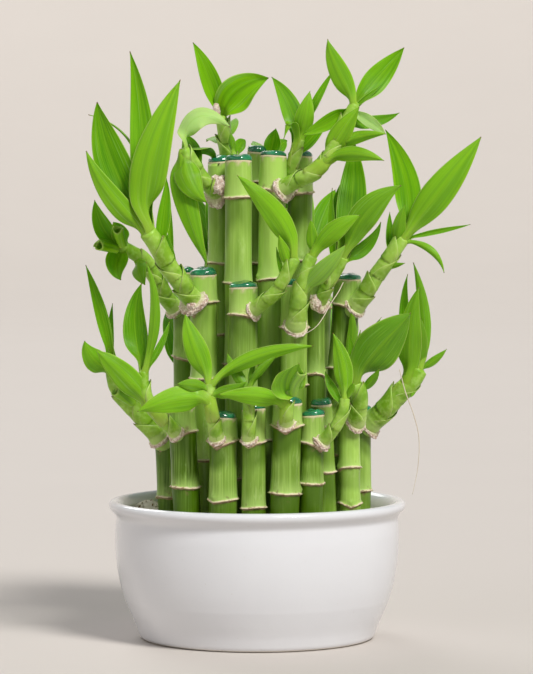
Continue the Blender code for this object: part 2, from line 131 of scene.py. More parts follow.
def tangentsOf(path):
    # unit directions along a path, from each point's neighbours
    return unit(np.gradient(path, axis=0))


def rays(along, angles, start=(0, 1, 0)):
    # unit directions square to each tangent, at angles that are (sides,) or (rows, sides)
    across = unit(np.cross(np.broadcast_to(vec(*start), along.shape), along))
    up = np.cross(along, across)
    return across[:, None] * np.cos(angles)[..., None] + up[:, None] * np.sin(angles)[..., None]


def tubeRings(path, radii, sides):
    # circles square to the path; radii is (rows,) or (rows, sides)
    return path[:, None] + rays(tangentsOf(path), ringTurns(sides)) * radii.reshape(len(path), -1)[..., None]


def closedFaces(rows, cols):
    # quads of a grid whose columns close into a ring, and a strip of quads across either end
    i = np.arange(rows - 1)[:, None] * cols
    j = np.arange(cols)[None, :]
    k = (j + 1) % cols
    sides = np.stack([i + j, i + k, i + cols + k, i + cols + j], -1).reshape(-1, 4)
    s = np.arange(cols // 2 - 1)
    cap = np.stack([s, s + 1, cols - 2 - s, cols - 1 - s], 1)
    return np.vstack([sides, cap[:, ::-1], cap + (rows - 1) * cols])


def closedPart(rings, material=0, place=(0, 0, 0), look=(0, 0, 0)):
    # rings (rows, cols, 3) as one closed body; place and look are numbers at each point that its material reads
    numbers = [np.broadcast_to(values, rings.shape).reshape(-1, 3) for values in (place, look)]
    return rings.reshape(-1, 3), closedFaces(*rings.shape[:2]), *numbers, material


def meshObject(name, parts, materials):
    # joins closed parts into one object at the origin
    starts = np.cumsum([0] + [len(part[0]) for part in parts])
    points = np.vstack([part[0] for part in parts]) * toMetres
    quads = np.vstack([part[1] + start for part, start in zip(parts, starts)])
    slots = np.concatenate([np.full(len(part[1]), part[4], np.int32) for part in parts])
    mesh = bpy.data.meshes.new(name)
    mesh.vertices.add(len(points))
    mesh.vertices.foreach_set("co", points.astype(np.float32).ravel())
    mesh.loops.add(quads.size)
    mesh.loops.foreach_set("vertex_index", quads.astype(np.int32).ravel())
    mesh.polygons.add(len(quads))
    mesh.polygons.foreach_set("loop_start", np.arange(0, quads.size, 4, dtype=np.int32))
    mesh.polygons.foreach_set("material_index", slots)
    mesh.update(calc_edges=True)
    for title, column in (("place", 2), ("look", 3)):
        values = np.vstack([part[column] for part in parts]).astype(np.float32)
        mesh.attributes.new(title, "FLOAT_VECTOR", "POINT").data.foreach_set("vector", values.ravel())
    for material in materials:
        mesh.materials.append(material)
    mesh.shade_smooth()
    thing = bpy.data.objects.new(name, mesh)
    bpy.context.scene.collection.objects.link(thing)
    return thing


def seat(thing, slot, *nodes):
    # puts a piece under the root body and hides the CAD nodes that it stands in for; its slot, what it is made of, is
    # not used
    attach(thing, "root")
    if nodes:
        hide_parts(*nodes)


def startMaterial(name, shaderValues):
    # a material, and short ways to add a node to it and to wire a socket into its shader
    material = bpy.data.materials.new(name)
    material.use_nodes = True
    tree = material.node_tree
    shader = tree.nodes["Principled BSDF"]
    for socket, value in shaderValues.items():
        shader.inputs[socket].default_value = value

    def node(kind, settings=None, **wires):
        # settings are the node's properties; wires its inputs, by name or as i0, i1..., each a value or a socket
        made = tree.nodes.new("ShaderNode" + kind)
        for key, value in (settings or {}).items():
            setattr(made, key, value)
        for key, value in wires.items():
            numbered = key[0] == "i" and key[1:].isdigit()
            socket = made.inputs[int(key[1:]) if numbered else key]
            if isinstance(value, bpy.types.NodeSocket):
                tree.links.new(value, socket)
            else:
                socket.default_value = value
        return made

    def link(socket, shaderSocket):
        tree.links.new(socket, shader.inputs[shaderSocket])

    return material, node, link


def times(node, a, b):
    return node("Math", {"operation": "MULTIPLY"}, i0=a, i1=b).outputs[0]


def plus(node, a, b, clamp=False):
    return node("Math", {"operation": "ADD", "use_clamp": clamp}, i0=a, i1=b).outputs[0]


def spread(node, value, low, high, toLow=0.0, toHigh=1.0):
    # maps low..high to toLow..toHigh with a smooth ease
    ease = {"interpolation_type": "SMOOTHSTEP"}
    return node("MapRange", ease, i0=value, i1=low, i2=high, i3=toLow, i4=toHigh).outputs[0]


def blendColour(node, share, first, second):
    # first where share is 0, second where it is 1; each is a colour or a socket
    first, second = (c if isinstance(c, bpy.types.NodeSocket) else (*c, 1) for c in (first, second))
    return node("Mix", {"data_type": "RGBA"}, i0=share, i6=first, i7=second).outputs[2]


def washes(node, base, *coats):
    # colours laid over a base in turn. Each coat is a value, two levels of it, the colour's share at either, and
    # the colour
    for value, low, high, atLow, atHigh, colour in coats:
        base = blendColour(node, spread(node, value, low, high, atLow, atHigh), base, colour)
    return base


def attribute(node, title):
    found = node("Attribute", {"attribute_name": title})
    return node("SeparateXYZ", i0=found.outputs["Vector"]).outputs


def objectNoise(node, scale, detail=3.0, stretch=(1, 1, 1), rough=0.5):
    # noise through the object's own space, drawn out along the axes whose stretch is small
    spot = node("Mapping", i0=node("TexCoord").outputs["Object"], Scale=stretch).outputs[0]
    return node("TexNoise", i0=spot, Scale=scale, Detail=detail, Roughness=rough).outputs["Fac"]


def bump(node, link, height, strength, distance):
    link(node("Bump", Height=height, Strength=strength, Distance=distance).outputs[0], "Normal")


studio = {
    "cameraPlace": (0.004, -1.381, 0.191),
    "cameraTilt": 2.678,  # degrees below level
    "lens": 175.9,
    "floorColour": (0.60, 0.555, 0.515),
    "worldColour": (0.93, 0.95, 1.0),
    "worldStrength": 0.29,
    # name, direction it comes from, strength, softness in degrees, colour
    "suns": (
        ("keySun", (0.50, -0.72, 0.95), 2.95, 16, (1, 0.985, 0.955)),
        ("fillSun", (-0.85, -0.60, 0.35), 0.55, 50, (0.94, 0.97, 1)),
        ("backSun", (-0.35, 0.85, 0.75), 0.7, 30, (1, 1, 1)),
    ),
    # the floor's section: flat, then curving up far away; radius and height in metres
    "floorSection": ((0.001, 0), (0.3, 0), (1.0, 0), (2.5, 0), (4.0, 0), (5.0, 0.12), (6.0, 0.5), (6.8, 1.1),
                     (7.3, 2.0), (7.5, 3.0)),
    "floorRows": 60,
    "floorSides": 96,
    "floorDrop": 0.05,  # mm that the floor lies below the foot, so that the two don't touch
}


def buildStudio():
    scene = bpy.context.scene
    scene.view_settings.view_transform = "Standard"
    data = bpy.data.cameras.new("camera")
    data.lens = studio["lens"]
    data.sensor_width = 36
    data.clip_end = 50
    camera = bpy.data.objects.new("camera", data)
    scene.collection.objects.link(camera)
    camera.location = studio["cameraPlace"]
    camera.rotation_euler = (math.radians(90 - studio["cameraTilt"]), 0, 0)
    scene.camera = camera

    for name, way, strength, softness, colour in studio["suns"]:
        sun = bpy.data.lights.new(name, "SUN")
        sun.energy, sun.angle, sun.color = strength, math.radians(softness), colour
        light = bpy.data.objects.new(name, sun)
        light.rotation_euler = Vector(way).to_track_quat("Z", "Y").to_euler()
        scene.collection.objects.link(light)
    world = bpy.data.worlds.new("studioWorld")
    scene.world = world
    world.use_nodes = True
    background = world.node_tree.nodes["Background"]
    background.inputs[0].default_value = (*studio["worldColour"], 1)
    background.inputs[1].default_value = studio["worldStrength"]

    # the floor's section turned about Z, with no seam between floor and backdrop
    rows, sides = studio["floorRows"], studio["floorSides"]
    section = profileCurve(studio["floorSection"], rows) - (0, studio["floorDrop"] * toMetres)
    mesh = bpy.data.meshes.new("floor")
    faces = closedFaces(rows, sides)[:(rows - 1) * sides, ::-1]  # without the caps, facing up
    mesh.from_pydata(turnedRings(section, sides).reshape(-1, 3).tolist(), [], faces.tolist())
    mesh.shade_smooth()
    floor = bpy.data.objects.new("floor", mesh)
    scene.collection.objects.link(floor)
    material, node, link = startMaterial("floorPaint", {"Roughness": 0.75})
    paint = studio["floorColour"]
    link(blendColour(node, objectNoise(node, 6), paint, tuple(c * 0.97 for c in paint)), "Base Color")
    mesh.materials.append(material)


buildStudio()
print("camera, lights and floor are in place")


pot = {
    "sides": 160,
    "runs": (("foot", 16), ("outside", 90), ("inside", 60)),  # the profiles in order, and the rows of each
    # outer profile, radius and height, from the foot up to the lip
    "outside": ((46.6, 0.0), (48.4, 0.25), (49.6, 1.4), (50.3, 3.4), (51.4, 6.5), (53.5, 11.2), (55.3, 15.6),
                (56.0, 17.6), (57.5, 23.0), (58.8, 30.0), (59.5, 37.0), (59.7, 44.0), (59.45, 48.0), (59.25, 50.4),
                (59.5, 51.6), (60.5, 53.0), (61.6, 54.2), (62.2, 55.2), (62.35, 56.2), (62.0, 57.2), (61.2, 57.8),
                (60.2, 58.0)),
    # inner profile from the lip down to the floor
    "inside": ((58.9, 57.85), (57.9, 57.3), (57.1, 56.2), (56.4, 54.6), (55.9, 52.6), (55.6, 50.0), (55.4, 44.0),
               (53.6, 28.0), (50.2, 14.0), (45.0, 6.5), (38.0, 5.05), (20.0, 5.0), (0.01, 5.0)),
    # the recess under the foot, from its middle out
    "foot": ((0.01, 0.5), (30.0, 0.5), (44.2, 0.5), (44.9, 0.35), (45.4, 0.0)),
    "sway": 0.12,  # mm that the wall wanders out of round
    "glaze": ((0.71, 0.72, 0.755), (0.76, 0.77, 0.80)),
    "speck": (0.55, 0.5, 0.43),
    "bareClay": (0.68, 0.63, 0.55),
}


def buildPot():
    # three profiles joined and turned about Z; the thrown wall then wanders a little with a slow noise
    profile = np.vstack([profileCurve(pot[run], rows) for run, rows in pot["runs"]])
    rings = turnedRings(profile, pot["sides"])
    sway = ripple(rings * (1, 1, 1.5), 70, 3) * pot["sway"] * smooth(1.0, 8.0, rings[..., 2])
    sway = sway * (np.hypot(rings[..., 0], rings[..., 1]) > 40)  # the floor inside stays true
    rings[..., :2] *= (1 + sway / 60)[..., None]
    material, node, link = startMaterial("whiteGlaze", {"Coat Weight": 0.5, "Coat Roughness": 0.08})
    cloudy = objectNoise(node, 35, 4)
    height = node("SeparateXYZ", i0=node("TexCoord").outputs["Object"]).outputs[2]
    bare = spread(node, height, 0.0002, 0.0012, 1, 0)  # the foot's edge has no glaze
    tint = washes(node, blendColour(node, cloudy, *pot["glaze"]),
                  (objectNoise(node, 900, 1), 0.74, 0.80, 0, 0.25, pot["speck"]))
    link(blendColour(node, bare, tint, pot["bareClay"]), "Base Color")
    link(spread(node, plus(node, bare, times(node, cloudy, 0.2)), 0.0, 1.2, 0.16, 0.8), "Roughness")
    dimple = objectNoise(node, 130, 3, (1, 1, 0.6))
    bump(node, link, plus(node, dimple, times(node, objectNoise(node, 18, 2), 2.0)), 0.08, 0.0012)
    seat(meshObject("glazedPot", [closedPart(rings)], [material]), "pot_glaze", "pot")


buildPot()
print("pot is turned and glazed")


bed = {
    "radius": 55.2,
    "sides": 200,
    "rows": 90,
    "under": 40.0,  # height of its underside
    "sunk": 0.9,  # mm that the medium's own level lies below the CAD bed's top, to leave room for grains
    "swells": ((0.55, 26, 5), (0.28, 6, 6)),  # height, length and seed
    "seed": 11,
    "mound": (-46, 23, 4.6, 9, 13),  # centre, height and half sizes of a heap by the wall
    "medium": ((0.50, 0.43, 0.31), (0.80, 0.75, 0.64)),
    "paleGrain": (0.72, 0.66, 0.53),
    "bark": ((0.20, 0.11, 0.05), (0.42, 0.28, 0.15)),
    # count, the two shares of the bed's area that they lie between, lift, least and greatest size, flatness, seed
    "loose": (
        (900, (0, 0.97), 0.1, (0.25, 0.8), 0.8, 12),  # grains
        (60, (0.1, 0.95), 0.3, (0.4, 1.1), 0.3, 13),  # bark chips
    ),
}


def bedHeight(x, y):
    # a level bed with low swells, rising a little to the wall, and one bell-shaped heap
    spots = triple(x, y, 0)
    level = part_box("growing_bed")[1][2] / toMetres - bed["sunk"]
    mx, my, high, wide, deep = bed["mound"]
    heap = high * bell(x - mx, wide) * bell(y - my, deep)
    swells = sum(rise * ripple(spots, length, seed) for rise, length, seed in bed["swells"])
    return level + heap + swells + 0.7 * smooth(46, 55, np.hypot(x, y))


def turnedPair(angle, first, second):
    # two square directions, or coordinates along them, turned through an angle
    return first * np.cos(angle) - second * np.sin(angle), first * np.sin(angle) + second * np.cos(angle)


def loosePart(places, sizes, flatness, seed, material):
    # every lump at once: a barrel of three six-sided rings, stretched, tipped about two axes and sunk by half
    rng = np.random.default_rng(seed)
    count, sides = len(places), 6
    turn = ringTurns(sides)
    waist = vec(0.45, 1, 0.5)[:, None]
    barrel = triple(waist * np.cos(turn), waist * np.sin(turn), vec(-0.8, 0, 0.8)[:, None])
    stretch = triple(1.0, rng.uniform(0.6, 1, count), flatness)
    dents = rng.uniform(0.85, 1.15, (count, 3, sides, 3))
    bits = barrel[None] * stretch[:, None, None] * sizes[:, None, None, None] * dents
    for first, second in ((0, 2), (0, 1)):
        angle = rng.uniform(0, 6.28, count)[:, None, None]
        bits[..., first], bits[..., second] = turnedPair(angle, bits[..., first].copy(), bits[..., second].copy())
    points = (bits + places[:, None, None]).reshape(-1, 3)
    each = 3 * sides
    quads = (closedFaces(3, sides)[None] + each * np.arange(count)[:, None, None]).reshape(-1, 4)
    look = np.repeat(rng.uniform(size=count), each)[:, None] * (1, 0, 0)
    return points, quads, np.zeros_like(points), look, material


def buildBed():
    # rings that widen over the top and close again underneath, then loose lumps strewn evenly by area
    rng = np.random.default_rng(bed["seed"])
    turn = ringTurns(bed["sides"])
    radii = np.concatenate([[0.02], np.linspace(0.8, bed["radius"], bed["rows"])])
    x, y = np.outer(radii, np.cos(turn)), np.outer(radii, np.sin(turn))
    topside = triple(x, y, bedHeight(x, y))
    under = topside[::-6] * (1, 1, 0) + (0, 0, bed["under"])
    parts = [closedPart(np.concatenate([topside, under])[::-1], look=(0.5, 0, 0))]
    for material, (count, shares, lift, sizes, flatness, seed) in enumerate(bed["loose"]):
        away = bed["radius"] * np.sqrt(rng.uniform(*shares, count))
        bearing = rng.uniform(0, fullTurn, count)
        x, y = away * np.cos(bearing), away * np.sin(bearing)
        places = triple(x, y, bedHeight(x, y) + lift)
        parts.append(loosePart(places, rng.uniform(*sizes, count), flatness, seed, material))
    medium, node, link = startMaterial("paleMedium", {"Roughness": 0.9})
    fleck = objectNoise(node, 420, 4, rough=0.65)
    tint = blendColour(node, fleck, *bed["medium"])
    link(washes(node, tint, (attribute(node, "look")[0], 0, 1, 0, 0.5, bed["paleGrain"])), "Base Color")
    bump(node, link, fleck, 0.6, 0.0006)
    chip, node, link = startMaterial("barkChips", {"Roughness": 0.85})
    link(blendColour(node, objectNoise(node, 700, 3), *bed["bark"]), "Base Color")
    bump(node, link, objectNoise(node, 900, 2, (1, 1, 0.3)), 0.5, 0.0004)
    seat(meshObject("bedOfMedium", parts, [medium, chip]), "growing_medium", "growing_bed")


buildBed()
print("growing bed is spread")


cane = {
    "sides": 44,
    "rowSpace": 1.8,  # mm between rows away from a scar
    "scarSpace": 0.2,  # mm between rows at a scar
    "ridge": 0.75,  # how proud a leaf scar stands
    "waist": 0.02,  # how much narrower an internode is at its middle
    "step": 0.045,  # how much wider a cane is just above a scar than just below it
    "fadeUp": 7,  # mm over which the pale foot above a scar fades
    "fadeDown": 13,  # mm over which the dark cap below a scar, partly painted shade, fades
    "cutTilt": 0.07,  # steepest slope of a cut end
    "dip": 0.60,  # half width in radians of the V that a scar dips in
    "dipDepth": (0.8, 1.8),  # its least and greatest depth, other than under the shoot
    "waves": (0.22, 0.12),  # mm that a scar's line waves, broadly and finely
    "topRidge": 1.3,  # how much prouder the topmost scar is
    "bud": (0.15, 0.20, 2.2, 1.4),  # bulge, half width in radians, height above its scar and half height in mm
    "lumpy": 0.35,  # mm that the callus is pushed in and out
    "uneven": 0.10,  # mm that the skin wanders
    "skin": ((0.055, 0.125, 0.0005), (0.44, 0.70, 0.12)),  # deep green and pale
    # the dark cap's colour below a scar, partly the skin's own green and partly painted shade
    "capColour": (0.060, 0.140, 0.0005),
    "footColour": (0.50, 0.73, 0.20),
    "scarColour": (0.72, 0.62, 0.42),
    # share of the way from deep green to pale, for the canes that differ most
    "tones": {
        "short_1": 0.0, "short_2": 0.0, "short_3": 0.4, "short_4": 0.4, "short_5": 0.35, "short_8": 0.8,
        "short_9": 0.6, "middle_1": 0.55, "middle_2": 0.9, "middle_3": 0.5, "middle_4": 0.8, "middle_6": 0.35,
        "tall_1": 0.75, "tall_2": 0.7, "tall_3": 0.9, "tall_4": 0.6, "tall_5": 0.35,
    },
}

wax = {
    # share of the cane's radius and height in mm, from the middle of the cut over the rim to the crown
    "section": ((0.02, 0.02), (0.6, 0.02), (0.9, 0.02), (0.985, 0.12), (1.0, 0.5), (0.99, 1.0), (0.94, 1.55),
                (0.84, 2.05), (0.68, 2.4), (0.45, 2.62), (0.2, 2.7), (0.02, 2.72)),
    "sides": 44,
    "green": ((0.003, 0.11, 0.045), (0.02, 0.27, 0.11)),
}


def readCane(node):
    # the rings that a CAD cane is made of give its foot, its cut end, its usual radius and its scars. The last
    # three rings are the wax; a ring 3% wider than usual is a scar
    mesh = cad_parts[node].data
    points = np.empty(len(mesh.vertices) * 3, np.float32)
    mesh.vertices.foreach_get("co", points)
    points = points.reshape(-1, 3).astype(float) / toMetres
    levels = np.unique(np.round(points[:, 2], 1))
    levels = levels[np.concatenate([[True], np.diff(levels) > 0.3])]
    rings = [points[np.abs(points[:, 2] - level) < 0.25] for level in levels]
    low, high = np.array([r.min(0) for r in rings]), np.array([r.max(0) for r in rings])
    radii = (high - low)[:, :2].sum(1) / 4
    centres = (low + high)[:, :2] / 2
    usual = np.median(radii[:-3])
    scars = [float(level) for level, r in zip(levels[:-3], radii[:-3]) if r > usual * 1.03]
    foot, top = vec(*centres[0], levels[0]), vec(*centres[-3], levels[-3])
    return {"foot": foot, "top": top, "radius": float(usual), "scars": scars}


def axisAt(shape, height):
    # the point of a cane's axis at a height
    height = np.asarray(height, float)
    share = (height - shape["foot"][2]) / (shape["top"][2] - shape["foot"][2])
    flat = shape["foot"][:2] + (shape["top"] - shape["foot"])[:2] * share[..., None]
    return np.concatenate([flat, height[..., None]], -1)


def caneRows(shape, drops):
    # heights of a cane's rows, packed close from the lowest point of each scar to a little above it
    foot, end = shape["foot"][2], shape["top"][2]
    rows = [np.arange(foot, end - 0.01, cane["rowSpace"]), vec(end - 0.9, end - 0.35, end)]
    for scar, drop in zip(shape["scars"], drops):
        rows.append(np.arange(max(scar - drop - 1.6, foot), min(scar + 1.6, end - 1), cane["scarSpace"]))
    height = np.unique(np.round(np.concatenate(rows), 2))
    height = height[np.concatenate([[True], np.diff(height) > 0.12])]
    height[-1] = end
    return height


def withFace(values, onFace):
    # numbers on a cane's rows, and one number for the three rows of its cut face
    return np.concatenate([values, np.full((3, cane["sides"]), float(onFace))])


def caneParts(shape, side, footLow, tone, seed):
    # circles up the axis, swollen by what each scar adds. A scar is a thin ragged flange along a wavy line that
    # dips in a V: the topmost one dips at `side`, below the shoot, whose underside is at footLow. The cane is
    # wider just above a scar and narrower below it. shade falls from 1 above a scar, and rises from -1 below it
    rng = np.random.default_rng(seed)
    foot, end, size, scars = shape["foot"][2], shape["top"][2], shape["radius"], shape["scars"]
    drops = [rng.uniform(*cane["dipDepth"]) for _ in scars[:-1]] + [max(scars[-1] - footLow, 1.0)]
    broadWave, fineWave = cane["waves"]
    budBulge, budWidth, budHeight, budHalf = cane["bud"]
    height = caneRows(shape, drops)
    h, a = np.meshgrid(height, ringTurns(cane["sides"]), indexing="ij")
    swell, shade, nearest = np.ones_like(h), np.zeros_like(h), np.full_like(h, 99.0)
    for scar, drop in zip(scars, drops):
        top = scar == scars[-1]
        facing = side if top else rng.uniform(0, 6.28)
        turned = np.abs(np.angle(np.exp(1j * (a - facing))))
        line = scar - drop * np.exp(-(turned / cane["dip"]) ** 1.5) + broadWave * np.sin(a * 2 + rng.uniform(0, 6))
        line += fineWave * np.sin(a * 7 + rng.uniform(0, 6)) * np.sin(a * 3 + rng.uniform(0, 6))
        off = h - line
        above, below = np.maximum(off, 0), np.minimum(off, 0)
        nearest = np.minimum(np.abs(off), nearest)
        shade += np.where(off > 0, np.exp(-above / cane["fadeUp"]), -np.exp(below / cane["fadeDown"]))
        ragged = 1 + 0.4 * np.sin(a * 5 + rng.uniform(0, 6)) * np.sin(a * 11 + rng.uniform(0, 6))
        near = bell(turned, 0.8) if top else 0
        flange = np.where(off < 0, bell(off, 0.22), np.exp(-(above / (0.5 + 0.5 * near)) ** 1.4))
        swell += cane["ridge"] * ragged * (cane["topRidge"] if top else 1) * (1 + 0.3 * near) / size * flange
        swell += cane["step"] / 2 * np.exp(-np.abs(off) / 7) * np.sign(off) + 0.03 * bell(off, 3.4)
        if top:
            callus = near * smooth(-0.5, 0.1, off) * (1 - smooth(1.4, 3.2, off))
            swell += callus * cane["lumpy"] / size * ripple(triple(a * size, h, 0), 2.0, seed + 3)
        else:  # a dormant bud
            swell += budBulge * bell(turned, budWidth) * bell(off - budHeight, budHalf)
    # each internode narrows to its middle; the first and last run on past the cane's ends
    ends = np.array([foot - 12, *scars, end + 22])
    place = np.searchsorted(ends, height) - 1
    low, high = ends[place], ends[np.minimum(place + 1, len(ends) - 1)]
    swell -= (cane["waist"] * np.sin(math.pi * np.clip((height - low) / (high - low), 0, 1)))[:, None]
    axis = axisAt(shape, height)
    outward = triple(np.cos(a), np.sin(a), 0)
    rings = axis[:, None] + outward * (size * swell)[..., None]
    rings += outward * (cane["uneven"] * ripple(rings * (1, 1, 0.25), 7, seed))[..., None]
    tilt = rng.uniform(-cane["cutTilt"], cane["cutTilt"], 2)
    rings[-3:, :, 2] += (rings[-1, :, :2] - axis[-1, :2]) @ tilt
    # the cut face, drawn in to its middle
    inner = vec(0.95, 0.6, 0.02)[:, None, None]
    face = rings[-1][None] * inner + axis[-1] * (1 - inner)
    face[..., 2] += vec(0.14, 0.1, 0.1)[:, None]
    cut = smooth(end - 0.9, end - 0.5, h + 0.3 * np.sin(a * 7))
    place = triple(withFace(callus, 0), withFace(shade, 0), withFace(nearest, 99))
    look = triple(tone, withFace(cut, 1), withFace(h - scars[-1], 9))
    stem = closedPart(np.concatenate([rings, face]), 0, place, look)
    return [stem, waxPart(axis[-1], size * swell[-1].mean(), tilt, seed)]


def waxPart(centre, size, tilt, seed):
    # a thick drop over the cut: its section turned about the cane, with an uneven rim and a lumpy crown
    rng = np.random.default_rng(seed + 900)
    turn = ringTurns(wax["sides"])
    section = profileCurve(wax["section"], 22)
    ragged = 1 + 0.025 * np.sin(turn * 3 + rng.uniform(0, 6)) + 0.02 * np.sin(turn * 5 + rng.uniform(0, 6))
    flat = np.outer(section[:, 0] * size * 0.985, ragged)
    rings = triple(flat * np.cos(turn), flat * np.sin(turn), 0)
    lumpy = 1 + 0.22 * ripple(rings, 7, seed + 901)
    rings[..., 2] = section[:, 1:] * lumpy * rng.uniform(0.85, 1.05) + rings[..., :2] @ tilt + 0.15
    return closedPart(rings + centre, 1)


def caneMaterial():
    material, node, link = startMaterial("caneSkin", {
        "Coat Weight": 0.06, "Coat Roughness": 0.3, "Specular IOR Level": 0.28,
        "Subsurface Weight": 0.10, "Subsurface Radius": (0.6, 1.0, 0.2), "Subsurface Scale": 0.001})
    callus, shade, off = attribute(node, "place")
    tone, cut, aboveTop = attribute(node, "look")
    streak = objectNoise(node, 1300, 3, (1, 1, 0.02))
    broad = objectNoise(node, 150, 3, (1, 1, 0.10))
    cloud = objectNoise(node, 60, 2, (1, 1, 0.5))
    bloom = objectNoise(node, 210, 4, (1, 1, 0.25), 0.7)
    grain = objectNoise(node, 1100, 3)
    # streaks and clouds along the cane
    skin = washes(node, blendColour(node, tone, *cane["skin"]),
                  (streak, 0.38, 0.68, 0, 0.45, (0.46, 0.70, 0.16)),
                  (broad, 0.42, 0.70, 0, 0.65, (0.10, 0.22, 0.001)),
                  (bloom, 0.55, 0.75, 0, 0.5, (0.58, 0.76, 0.28)))
    # a dark cap with a torn edge below each scar: partly the skin's own darker green, partly painted shade under the
    # scar's flange; weaker on a pale cane
    torn = plus(node, shade, times(node, plus(node, broad, -0.5), 1.1))
    cap = times(node, spread(node, torn, -0.54, -0.20, 0.9, 0), spread(node, cloud, 0.30, 0.60, 0.45, 1))
    cap = times(node, cap, spread(node, tone, 0.35, 0.9, 1, 0.45))
    skin = blendColour(node, cap, skin, cane["capColour"])
    # a pale foot above each scar, and a pale end
    skin = washes(node, skin,
                  (shade, 0.02, 0.9, 0, 0.65, cane["footColour"]),
                  (aboveTop, 0.0, 2.0, 0, 0.3, (0.45, 0.70, 0.13)))
    # the scar's dry line, flecked and browner on its underside
    wander = times(node, plus(node, objectNoise(node, 600, 2), -0.5), 0.7)
    scar = spread(node, plus(node, off, wander), 0.45, 0.85, 1, 0)
    dry = washes(node, cane["scarColour"],
                 (objectNoise(node, 420, 3), 0.52, 0.66, 0, 0.8, (0.30, 0.19, 0.10)),
                 (shade, -0.6, 0.2, 0.7, 0, (0.22, 0.12, 0.05)))
    skin = blendColour(node, scar, skin, dry)
    # callus, specks of soil near the scars, and the cut end
    scab = blendColour(node, spread(node, grain, 0.35, 0.65), (0.36, 0.22, 0.13), (0.74, 0.58, 0.42))
    skin = blendColour(node, times(node, callus, spread(node, objectNoise(node, 300, 2), 0.25, 0.5)), skin, scab)
    soil = spread(node, objectNoise(node, 330, 4), 0.60, 0.68, 0, 0.65)
    skin = blendColour(node, times(node, soil, spread(node, off, 0.5, 4.0, 1, 0)), skin, (0.20, 0.14, 0.06))
    flesh = blendColour(node, objectNoise(node, 2200, 2), (0.55, 0.46, 0.24), (0.82, 0.74, 0.52))
    link(blendColour(node, cut, skin, flesh), "Base Color")
    matte = plus(node, plus(node, scar, cut), callus, True)
    link(spread(node, matte, 0, 1, 0.34, 0.8), "Roughness")
    rough = plus(node, times(node, streak, 0.6), times(node, times(node, matte, grain), 1.6))
    bump(node, link, rough, 0.4, 0.0004)
    return material


def waxMaterial():
    material, node, link = startMaterial("greenWax", {"Roughness": 0.16, "Coat Weight": 1.0, "Coat Roughness": 0.06})
    deep, bright = wax["green"]
    link(washes(node, deep, (objectNoise(node, 260, 2), 0.3, 0.7, 0, 1, bright)), "Base Color")
    bump(node, link, objectNoise(node, 330, 2), 0.45, 0.0008)
    return material


